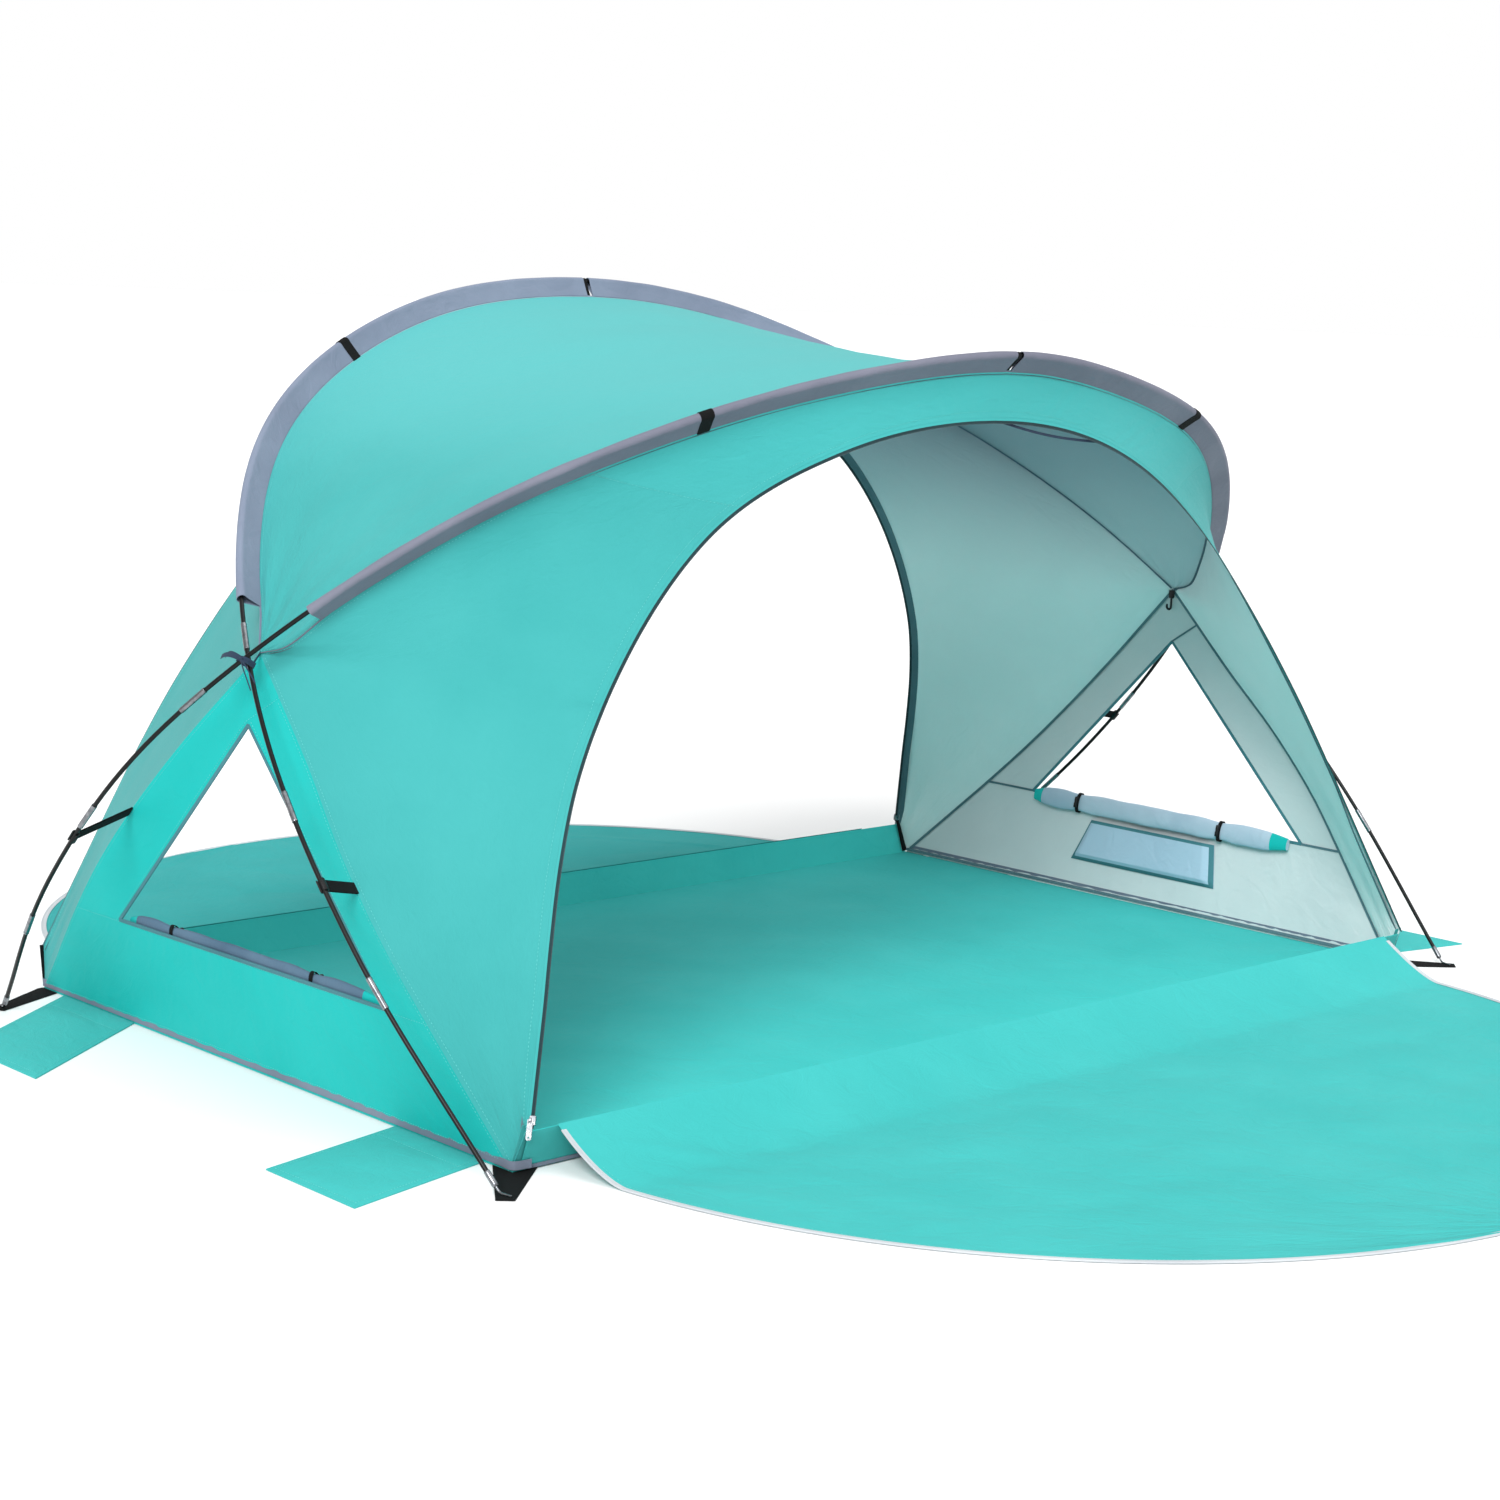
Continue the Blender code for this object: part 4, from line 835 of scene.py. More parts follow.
def cloth_piece(name, part, finishes, nodes, body="root"):
    """A cloth piece that stands for CAD nodes, with the size of the flat cloth it is cut from."""
    made = piece(name, [part], finishes, body, nodes)
    reach = part[3].max(axis=0) - part[3].min(axis=0)
    area = sheet_area(part)
    width, length = (math.ceil(v * 100) / 100 for v in reach)
    if area > width * length:
        length = math.ceil(area / width * 100) / 100
    print(f"{name}: cut from {width:.2f} x {length:.2f} m, {area:.3f} square metres")
    return made


print("relief stays within", round(float(np.abs(relief(np.random.default_rng(1).random((9, 9, 3)), 1)).max()), 4), "m")

# %% [markdown]
# ## Canopy
#
# The roof spans the two hoops, and each face is sewn from three panels round its doorway. Cloth that
# is pulled between two curved seams takes a shallow saddle, so every panel is a ruled grid with a
# slight sag towards the room, and a little relief for swells and puckers.
# %% Roof and faces
face_sag, roof_sag = 0.02, 0.02
face_columns, roof_columns = 30, 84
face_rounds = 160
joint_row = 16 * fineness


def roof():
    front, rear = whole(front_seam)[1:-1], whole(rear_seam)[1:-1]
    part = panel_part("roof", ruled(front, rear, roof_columns, roof_sag), 11)
    # The roof takes the lighter copy of the cloth, a painted highlight, and the darker copy of the coating, painted
    # shade.
    cloth_piece("roof_cloth", part, [roof_cloth, roof_lining_painted_shade], ("roof_panel",))


def face(prefix, outer, inner, seed):
    grid = ruled(outer, inner, face_columns, face_sag)
    grid = relaxed(np.concatenate([grid, mirrored(grid[:-1])[::-1]]), face_rounds)
    left = panel_part(prefix + "_side", grid[:joint_row + 1], seed)
    centre = panel_part(prefix + "_centre", grid[joint_row:-joint_row], seed + 1)
    # The outside's painted highlight and the room side's painted shade grow towards the top.
    finishes = [canopy_cloth, canopy_lining]
    for side, place in sides.items():
        cloth_piece(f"{prefix}_face_{side}", place(left), finishes, (f"{prefix}_panel_{side}",))
    cloth_piece(prefix + "_face_centre", centre, finishes, (prefix + "_panel_centre",))


roof()
face("front", front_outer, front_inner, 21)
face("rear", rear_outer, rear_inner, 31)

# %% [markdown]
# ## Side walls
#
# Each side is a low strip along the ground and two strips that lean together over a triangular
# window. A Boolean could cut the window out. Three strips give it clean edges, as the real cutting
# pattern does, and share the ridges with the faces.
# %% Wall strips
seam_level, extension_level = 3, 7
window_front_share, window_rear_share = 0.10, 0.86
apex_level, apex_share = 0.835, 0.51
lower_steps, front_strip_steps, rear_strip_steps = 130, 12, 14
seam_row, extension_row = seam_level * fineness, extension_level * fineness


def wall_point(level, across):
    """A point of the left wall: level as a share of the crossing's height, across from front to rear."""
    front = np.array([np.interp(level, ridge_levels, front_ridge_coarse[:, k]) for k in range(3)])
    rear = np.array([np.interp(level, ridge_levels, rear_ridge_coarse[:, k]) for k in range(3)])
    return front + (rear - front) * across


window_apex = wall_point(apex_level, apex_share)
rise = np.linspace(0.0, 1.0, extension_row - seam_row + 1)[:, None]
window_sill = [wall_point(ridge_levels[seam_level], share) for share in (window_front_share, window_rear_share)]
window_front, window_rear = (start + (window_apex - start) * rise for start in window_sill)


def walls():
    lower = panel_part("lower", ruled(front_ridge[:seam_row + 1], rear_ridge[:seam_row + 1], lower_steps), 41)
    front_line = front_ridge[seam_row:extension_row + 1]
    front = panel_part("front_strip", ruled(front_line, window_front, front_strip_steps), 42)
    to_ridge = np.linspace(0.0, 1.0, fineness + 1)[1:, None]
    inner = np.vstack([window_rear, window_apex + (front_ridge[extension_row] - window_apex) * to_ridge])
    rear = panel_part("rear_strip", ruled(rear_ridge[seam_row:], inner, rear_strip_steps), 43)
    for side, place in sides.items():
        for label, part in (("lower", lower), ("front_strip", front), ("rear_strip", rear)):
            cloth_piece(f"side_wall_{label}_{side}", place(part), [side_cloth, side_lining],
                        (f"side_{label}_{side}",))


walls()

# %% [markdown]
# ## Floor
#
# The floor is one sheet, bent up into a low sill at each doorway, which keeps the sand out. It could
# be a flat tray with walls. One profile drawn across the whole width gives the bends, and its rows
# are marked, so that the sills take shades of their own: the front sill is painted darker, painted
# shade, and the rear sill lighter, painted light. The floor inside is a lighter copy, painted light.
# %% Floor
floor_thickness, floor_level = 0.0014, 0.002
sill_inset = 0.014
floor_rows, floor_columns, sill_rows = 91, 141, 9


def floor_cloth():
    front = np.array([(-half_depth - sill_lean, sill_height), (-half_depth, floor_level)])
    sill = front[0] + (front[1] - front[0]) * np.linspace(0.0, 1.0, sill_rows)[:, None]
    flat = np.stack([np.linspace(-half_depth, half_depth, floor_rows), np.full(floor_rows, floor_level)], axis=1)
    profile = np.vstack([sill, flat[1:-1], sill[::-1] * (-1.0, 1.0)])
    share = np.linspace(-1.0, 1.0, floor_columns)
    high = np.clip(profile[:, 1] / sill_height, 0.0, 1.0) > 0.03
    reach = np.where(high, half_width - sill_inset, half_width)[:, None] * share[None, :]
    grid = np.stack([reach, np.broadcast_to(profile[:, :1], reach.shape),
                     np.broadcast_to(profile[:, 1:], reach.shape)], axis=-1)
    waves = relief(grid, 51, swell=0.0012, pucker=0.0005, border=0.10, pitch=0.05)
    lying = (~high)[:, None] & (np.abs(grid[..., 1]) < half_depth - 0.004)
    grid[..., 2] += np.where(lying, np.abs(waves), 0.0)
    part = sheet_part(grid, (0.0, 0.0, -1.0), floor_thickness, lining=0)
    cells = part[2][:2 * (len(profile) - 1) * (len(share) - 1)].reshape(2, len(profile) - 1, -1)
    # The sill rows take their painted shades: 1 is the front sill's painted shade, 2 the rear sill's painted light.
    cells[:, :sill_rows - 1], cells[:, 1 - sill_rows:] = 1, 2
    cloth_piece("floor_cloth", part, [floor_painted_light, front_sill_painted_shade, rear_sill_painted_light], ("floor",))


floor_cloth()

# %% [markdown]
# ## Doors
#
# The unzipped doors hang over the sills and lie on the ground as half ovals. A simulation could drape
# them, but each also has to turn about its sill as one body. Loose cloth never lies quite flat, so
# low ripples run out from the corners where the zips hold it.
# %% Doors
door_apron = 0.15
door_lift = 0.0006
front_door_half, front_door_reach = 1.13, 1.12
rear_door_half, rear_door_reach = 1.06, 0.96
side_turn, tip_turn, ripple_start = 0.14, math.pi / 2 - 0.03, 0.10
first_turns, later_turns, door_columns = 14, 76, 121
ray_count, ray_height, ray_fade, ray_start = 4, 0.0035, 0.55, 0.05
ray_angles, ray_widths = (0.12, 1.1), (0.02, 0.05)


def door_grid(front, half, reach, seed):
    """An unzipped door from its sill to the tip of its half oval, with its ripples."""
    way = -1.0 if front else 1.0
    hinge_y, hinge_z = half_depth + sill_lean + door_lift, sill_height + door_lift
    beside = np.linspace(0.0, side_turn, first_turns + 1)[:-1]
    turn = np.concatenate([beside, np.linspace(side_turn, tip_turn, later_turns)])[:, None]
    share = np.linspace(-1.0, 1.0, door_columns)[None, :]
    out = reach * np.sin(turn)
    x = half * np.cos(turn) * share
    y = way * (hinge_y + out) + 0.0 * share
    fall = np.maximum(0.0, 1.0 - out / door_apron) ** 1.5
    grid = np.stack([x, y, hinge_z * fall + 0.0 * share], axis=-1)
    waves = relief(grid, seed, swell=0.003, pucker=0.0016, border=0.12, pitch=0.11)
    rays = np.zeros(x.shape)
    rng = np.random.default_rng(seed)
    for corner in (-1.0, 1.0):
        angle = np.arctan2(out, half - corner * x)
        span = np.hypot(out, half - corner * x)
        for _ in range(ray_count):
            at, width = rng.uniform(*ray_angles), rng.uniform(*ray_widths)
            rays += ray_height * np.exp(-((angle - at) / width) ** 2) * np.exp(-span / ray_fade) * (span > ray_start)
    grid[..., 2] += (np.abs(waves) + rays) * np.clip(out / ripple_start, 0.0, 1.0)
    return grid


def doors():
    for prefix, front, half, reach, seed in (("front", True, front_door_half, front_door_reach, 61),
                                             ("rear", False, rear_door_half, rear_door_reach, 62)):
        grid = door_grid(front, half, reach, seed)
        surfaces[prefix + "_door"] = grid + np.array([0.0, 0.0, cloth_thickness]), np.array([0.0, 0.0, -1.0])
        part = sheet_part(grid + np.array([0.0, 0.0, cloth_thickness]), (0.0, 0.0, -1.0), lining=0)
        # The rear door takes a darker copy of the cloth: painted shade.
        paint = ground_cloth if front else rear_ground_cloth
        cloth_piece(prefix + "_door_cloth", part, [paint], (prefix + "_door",),
                    body=prefix + "_door")


doors()

# %% [markdown]
# ## Sand flaps
#
# Four flat pouches at the floor's sides take sand as ballast. Each could be a thin box. A grid that
# is raised over its filled part and laid flat at its hems looks sewn.
# %% Sand flaps
flap_edge = -half_width - 0.0007
flap_sizes = {
    "front": (-0.409, 0.231, 0.29, 0.062),
    "rear": (0.634, 0.247, 0.32, 0.215),
}
flap_rest, flap_fill = 0.002, 0.0035
flap_profile = (0.0, 0.12, 0.17, 0.24, 0.50, 0.90, 0.97, 1.0), (0.1, 0.1, 0.0, 0.7, 1.0, 0.7, 0.1, 0.0)


def sand_flaps():
    run = np.linspace(0.0, 1.0, 49)[:, None]
    share = np.linspace(0.0, 1.0, 41)[None, :]
    filled = np.interp(run, *flap_profile)
    for seed, (place, (start, width, reach, skew)) in enumerate(flap_sizes.items(), 71):
        x = flap_edge - reach * run + 0.0 * share
        y = start - skew * run - width * share
        swell = np.sin(np.pi * share) ** 0.6 * filled
        grid = np.stack([x, y, flap_rest + flap_fill * swell], axis=-1)
        grid[..., 2] += np.abs(relief(grid, seed, 0.0010, 0.0006, 0.05, 0.04)) * (swell > 0)
        surfaces["flap_" + place] = grid, np.array([0.0, 0.0, -1.0])
        under = grid.copy()
        under[..., 2] = 0.0
        part = sheet_part(grid, under - grid, 1.0, lining=0)
        for side, turn in sides.items():
            name = f"sand_flap_{place}_{side}"
            cloth_piece(name + "_cloth", turn(part), [ground_cloth], (name,),
                        body=name)


sand_flaps()

# %% [markdown]
# ## Pole sleeves
#
# The hoops run in sleeves that are folded from a strip and sewn along the canopy's seam, which gives
# a teardrop section: round over the rod, and drawn to a flat edge at the seam. A curve with that
# profile could make one. Rings of points also let it be gathered a little and widen at its open
# mouth.
# %% Pole sleeves
sleeve_radius = 0.0079
sleeve_wall = 0.0009
sleeve_tail = sleeve_width - 0.0009
sleeve_tip = 0.0012
sleeve_gap = 0.016
sleeve_step = 0.012
sleeve_overlap = 0.15
gather_depth, gather_lead, gather_count, gather_sizes = 0.10, 0.05, 7, (0.04, 0.30)
mouth_flare, mouth_lead = 0.22, 0.03


def sleeve_outline(inset=0.0):
    """The teardrop, counter-clockwise from the right of the rod."""
    radius = sleeve_radius - inset
    arc = np.linspace(-sleeve_overlap, math.pi + sleeve_overlap, 15)
    top = [(radius * math.cos(a), radius * math.sin(a)) for a in arc]
    drop = np.linspace(0.0, 1.0, 8)[1:]
    start_x, start_y = radius * math.cos(arc[0]), radius * math.sin(arc[0])
    tip, tail = max(sleeve_tip - inset, 0.0004), -(sleeve_tail - 2 * inset)
    side = [(start_x + (tip - start_x) * t ** 0.8, start_y + (tail - start_y) * t) for t in drop]
    left = [(-x, y) for x, y in side]
    return np.array(top + left + side[::-1])


def sleeve_path(hoop, start):
    """The run of a left sleeve up to its gap at the top, with a point about every sleeve_step."""
    middle = lengths(hoop)[-1] / 2
    return at_length(hoop, np.linspace(start, middle - sleeve_gap / 2, round((middle - start) / sleeve_step)))


def sleeve_part(path, seed):
    rng = np.random.default_rng(seed)
    run = lengths(path)
    gather = np.zeros(len(path))
    for _ in range(gather_count):
        gather += np.sin(run * 2 * math.pi / rng.uniform(*gather_sizes) + rng.uniform(0, 2 * math.pi)) / 4
    gather *= np.clip(run / gather_lead, 0.0, 1.0)
    breadth = 1.0 + gather_depth * gather + mouth_flare * np.exp(-run / mouth_lead)
    outer, inner = (np.stack([sleeve_outline(inset) * (wide, 1.0) for wide in breadth]) for inset in (0.0, sleeve_wall))
    return tube_part(path, -inward(path), outer, bore=inner)


def sleeves():
    for prefix, hoop, start, seed in (("front", front_hoop, front_crossing_run + front_lead, 81),
                                      ("rear", rear_hoop, rear_crossing_run + rear_lead, 82)):
        part = sleeve_part(sleeve_path(hoop, start), seed)
        # The front sleeve takes a darker copy of the sleeve cloth: painted shade.
        paint = front_sleeve_cloth if prefix == "front" else sleeve_cloth
        for side, place in sides.items():
            cloth_piece(f"{prefix}_sleeve_cloth_{side}", place(part), [paint],
                        (f"{prefix}_sleeve_{side}",))


sleeves()

# %% [markdown]
# ## Poles
#
# Each hoop is a fibreglass rod in sections. A bright metal ferrule joins two sections, so its tube is
# a little wider, with rolled lips. Below the sleeves the rods are bare, and their lowest ends sit on
# bent steel pins.
# %% Rods and ferrules
rod_radius, rod_bore, ferrule_radius = 0.0040, 0.0026, 0.0052
ferrule_length = 0.058
pole_end = 0.018
leg_ferrules = 3
rod_step, rod_gap = 0.03, 0.0003
ferrule_edge, ferrule_roll = 0.0008, 0.003
pole_facts = {
    "front": (front_hoop, front_crossing_run - 0.114, 0.316),
    "rear": (rear_hoop, rear_crossing_run + 0.061, 0.354),
}


def rod_parts(hoop, start, end, middles):
    """A rod from start to end, with a ferrule at each of the middles."""
    span = np.linspace(start, end, max(8, round((end - start) / rod_step)))
    path = at_length(hoop, span)
    parts = [tube_part(path, -inward(path), circle(rod_radius, 14), bore=circle(rod_bore, 14))]
    half = ferrule_length / 2
    for middle in middles:
        lip = np.array([half, half - ferrule_edge, half - ferrule_roll])
        where = middle + np.concatenate([-lip, lip[::-1]])
        path = at_length(hoop, where)
        shape = np.array([0.94, 1.0, 0.97, 0.97, 1.0, 0.94])
        parts.append(tube_part(path, -inward(path), circle(ferrule_radius, 18), shape,
                               bore=circle(rod_radius, 18), mark=1))
    return parts


def poles():
    for prefix, (hoop, highest, pitch) in pole_facts.items():
        total = lengths(hoop)[-1]
        near = [highest - pitch * k for k in reversed(range(leg_ferrules))]
        span = total - 2 * highest
        count = round(span / pitch)
        between = [highest + span / count * k for k in range(1, count)]
        break_at = near[-1] + ferrule_length / 2
        leg = rod_parts(hoop, pole_end, break_at, near)
        pair(prefix + "_leg_rod", leg, [rod_gloss, steel], prefix + "_pole_leg")
        arch = rod_parts(hoop, break_at + rod_gap, total - break_at - rod_gap, between)
        piece(prefix + "_hoop_rod", arch, [rod_gloss, steel], "root", (prefix + "_pole_hoop",))
        print(f"{prefix} pole: {total:.2f} m, {2 * leg_ferrules + count - 1} ferrules")


poles()

# %% [markdown]
# ## Corner pins and straps
#
# At each corner a bent steel pin sits in the pole's end, and its foot lies on a webbing strap. A pin
# could be a curve with a round bevel. A circle that runs along a rounded line also lets its toe grow
# thinner. The strap is a thin sheet from the floor's corner to the pin.
# %% Corner pins and their straps
pin_radius, pin_grip, pin_foot = 0.0019, 0.030, 0.022
strap_base, strap_heel, strap_tip, strap_reach = 0.050, 0.012, 0.030, 0.008
webbing = 0.0016
pin_bend, corner_steps, pin_rest, pin_side = 0.006, 5, 0.0003, (1.0, 0.0, 0.4)
collar_stations = np.array([-0.0006, 0.0004, 0.003, 0.024, 0.0265, 0.027])
collar_shape = np.array([0.80, 0.94, 1.0, 1.0, 0.96, 0.88])
strap_clear, strap_side, strap_wave, strap_share = 0.0003, 0.0011, 0.0004, 0.7


def pin_points(line):
    """The pin's bends: in the rod, at the rod's end, on the ground, and its toe."""
    run = line[1] - line[0]
    drop = -unit(run)
    end = at_length(line, pole_end)
    foot = end + drop * (end[2] - webbing - pin_rest - pin_radius) / -drop[2]
    toe = foot + unit(run * np.array([-1.0, -1.0, 0.0])) * pin_foot
    return np.array([at_length(line, pole_end + pin_grip), end, foot, toe])


def rounded(points, radius):
    """A polyline with its inner corners rounded."""
    points = np.asarray(points, float)
    out = [points[0]]
    for before, corner, after in zip(points, points[1:], points[2:]):
        first = corner + unit(before - corner) * radius
        last = corner + unit(after - corner) * radius
        t = np.linspace(0.0, 1.0, corner_steps + 1)[:, None]
        out += list((1 - t) ** 2 * first + 2 * t * (1 - t) * corner + t ** 2 * last)
    return np.array(out + [points[-1]])


def strap_part(foot, toe, front):
    """A webbing gusset from the floor's corner out to beneath the pin."""
    way = -1.0 if front else 1.0
    corner = np.array([-half_width - strap_clear, way * (half_depth + strap_side)])
    start = corner - np.array([0.0, way * strap_base])
    last = corner + (np.array([strap_base, 0.0]) if front else np.array([-strap_heel, 0.0]))
    reach = unit(toe[:2] - corner)
    across = np.array([-reach[1], reach[0]]) * strap_tip / 2
    if np.dot(across, start - last) < 0:
        across = -across
    far = (foot[:2] + toe[:2]) / 2 + reach * (pin_foot / 2 + strap_reach)
    t = np.linspace(0.0, 1.0, 25)[:, None, None]
    s = np.linspace(0.0, 1.0, 17)[:, None]
    base = np.where(s < 0.5, start + (corner - start) * s * 2, corner + (last - corner) * (s * 2 - 1))
    tip = far + across - 2 * across * s
    flat = base[None] + (tip - base)[None] * t
    waves = strap_wave * np.sin(t[..., 0] * 9.0) * np.sin(s[None, :, 0] * 7.0)
    grid = np.concatenate([flat, np.broadcast_to(webbing, flat[..., :1].shape) - np.abs(waves)[..., None]], axis=-1)
    return sheet_part(grid, (0.0, 0.0, -1.0), webbing * strap_share, lining=0)


def corner_fittings():
    for corner_name, line, front in (("rear", front_arch, False), ("front", rear_arch, True)):
        points = pin_points(line)
        foot, toe = points[2:]
        path = rounded(points, pin_bend)
        pin = tube_part(path, pin_side, circle(pin_radius, 12), np.r_[np.ones(len(path) - 1), 0.8])
        end = points[1]
        collar_path = end + unit(points[0] - end) * collar_stations[:, None]
        collar = tube_part(collar_path, pin_side, circle(ferrule_radius, 18), collar_shape,
                           bore=circle(rod_radius * 1.02, 18))
        strap = strap_part(foot, toe, front)
        for side, place in sides.items():
            where = f"{corner_name}_{side}"
            piece("corner_pin_" + where, [place(pin), place(collar)], [steel], "root", ("pin_" + where,))
            piece("corner_webbing_" + where, [place(strap)], [webbing_cloth], "root",
                  ("corner_strap_" + where,))
    print("pins and straps at four corners")


corner_fittings()

# %% [markdown]
# ## Clips
#
# Below the crossings a clip on a short webbing tab holds each leg to the canopy's ridge. A clip is a
# plastic ring that is open on one side. It could be a torus with a part cut away, but a section that
# runs most of the way round is open from the start.
# %% Clips on the legs
clip_bore, clip_wall, clip_width = 0.0046, 0.0028, 0.022
clip_mouth, ridge_tries = 35, 1200
tab_thickness, tab_reach, tab_share = 0.0011, 0.001, 0.95
clip_profile = ((-0.6, -1), (0.6, -1), (1, -0.92), (1, 0.92), (0.6, 1), (-0.6, 1), (-1, 0.92), (-1, -0.92))
clip_drops = {"rear": (front_hoop, front_arch, rear_ridge_coarse, front_crossing_run - 0.50),
              "front": (rear_hoop, rear_arch, front_ridge_coarse, rear_crossing_run - 0.483)}


def ribbon_part(points, width_way, width, thickness, mark=0):
    """A flat ribbon that follows the points, with its width along the given direction."""
    w, t = width / 2, thickness / 2
    section = [(-t, -w), (-t * 0.2, -w * 1.02), (t, -w), (t, w), (t * 0.2, w * 1.02), (-t, w)]
    return tube_part(points, width_way, section, mark=mark)


def pole_clips():
    for place_name, (hoop, line, ridge, where) in clip_drops.items():
        k = int(np.searchsorted(lengths(line), where))
        middle = hoop[k * fineness - fineness // 2]
        way = unit(line[k] - line[k - 1])
        ridge_run = np.linspace(0.0, lengths(ridge)[-1], ridge_tries)
        reach = at_length(ridge, ridge_run) - (line[k - 1] + line[k]) / 2
        anchor = at_length(ridge, ridge_run[np.argmin(np.abs(reach @ way))])
        out = unit(anchor - middle)
        out = unit(out - way * np.dot(out, way))
        across = np.cross(way, out)
        turn = np.linspace(math.radians(clip_mouth), math.radians(360 - clip_mouth), 27) + math.pi
        half_wall = clip_wall / 2
        radius = clip_bore + half_wall
        ring = middle + (np.cos(turn)[:, None] * out + np.sin(turn)[:, None] * across) * radius
        body = tube_part(ring, way, [(half_wall * x, clip_width / 2 * y) for x, y in clip_profile])
        root = middle + out * (radius + half_wall)
        tab_line = root + (anchor - out * tab_reach - root) * np.linspace(0.0, 1.0, 12)[:, None]
        tabs = [ribbon_part(tab_line + across * shift, way, clip_width * tab_share, tab_thickness, mark=1)
                for shift in (tab_thickness, -tab_thickness)]
        pair("leg_clip_" + place_name, [body, *tabs], [plastic, webbing_cloth],
             "pole_clip_" + place_name)
    print("clips on four legs")


pole_clips()

# %% [markdown]
# ## Ties
#
# At the crossings a dark ribbon is tied round both rods, and its ends hang loose. A true knot would
# pass the ribbon over itself many times. From a step away only a loop, the knot's swelling and the
# tails are seen, so these are made.
# %% Ribbon ties at the crossings
tie_clear, tie_reach, tie_step = 0.0012, 0.0118, 0.0022
tie_width, tie_thickness = 0.0052, 0.0009
knot_radius, knot_half, knot_lift = 0.0042, 0.006, 0.001
knot_shape = np.array([0.3, 0.75, 0.95, 1.0, 0.9, 1.0, 0.95, 0.75, 0.3])
stem_width, stem_thickness, stem_set_back = 0.009, 0.0012, 0.0006
tail_thickness, tail_lift = 0.0007, 0.006
tails = ((-0.050, 0.006, 0.0085, 0.010), (-0.044, 0.015, 0.0080, 0.016),
         (0.046, -0.016, 0.0022, 0.020), (0.040, -0.024, 0.0020, 0.026))


def rounded_square(wave):
    """A sine or cosine pushed out, so that a loop becomes a square with round corners."""
    return np.sign(wave) * np.abs(wave) ** 0.45


def crossing_ties():
    front_point = at_length(front_hoop, front_crossing_run)
    rear_point = at_length(rear_hoop, rear_crossing_run)
    out = unit(front_point - rear_point)
    front_way = unit(at_length(front_hoop, front_crossing_run + 0.01) - front_point)
    rear_way = unit(at_length(rear_hoop, rear_crossing_run + 0.01) - rear_point)
    rise = front_way + rear_way
    rise = unit(rise - out * np.dot(rise, out))
    across = np.cross(rise, out)
    middle = (front_point + rear_point) / 2
    deep = np.linalg.norm(front_point - rear_point) / 2 + rod_radius + tie_clear
    angles = np.linspace(0.0, 2 * math.pi, 49)
    loop = out * (rounded_square(np.cos(angles)) * deep)[:, None] + \
        across * (rounded_square(np.sin(angles)) * tie_reach)[:, None]
    parts = [ribbon_part(middle + rise * shift + loop, rise, tie_width, tie_thickness)
             for shift in (-tie_step, tie_step)]
    knot_at = middle + out * (deep + knot_lift)
    knot_line = knot_at + across * np.linspace(-knot_half, knot_half, len(knot_shape))[:, None]
    parts.append(tube_part(knot_line, rise, circle(knot_radius, 12, 0.7), knot_shape))
    inner = middle - out * (deep + stem_set_back)
    lead = crossing + unit(inner - crossing) * 0.001 - inner
    parts.append(ribbon_part(inner + lead * np.linspace(0, 1, 10)[:, None], rise, stem_width, stem_thickness))
    t = np.linspace(0.0, 1.0, 16)[:, None]
    for sideways, upwards, width, droop in tails:
        line = knot_at + (across * sideways + rise * upwards) * t + out * tail_lift * np.sin(t * math.pi)
        parts.append(ribbon_part(line - np.array([0.0, 0.0, droop]) * t ** 2, rise, width, tail_thickness))
    pair("ribbon_tie", parts, [ribbon_cloth], "crossing_tie")
    print("ties:", len(parts), "parts each")


crossing_ties()

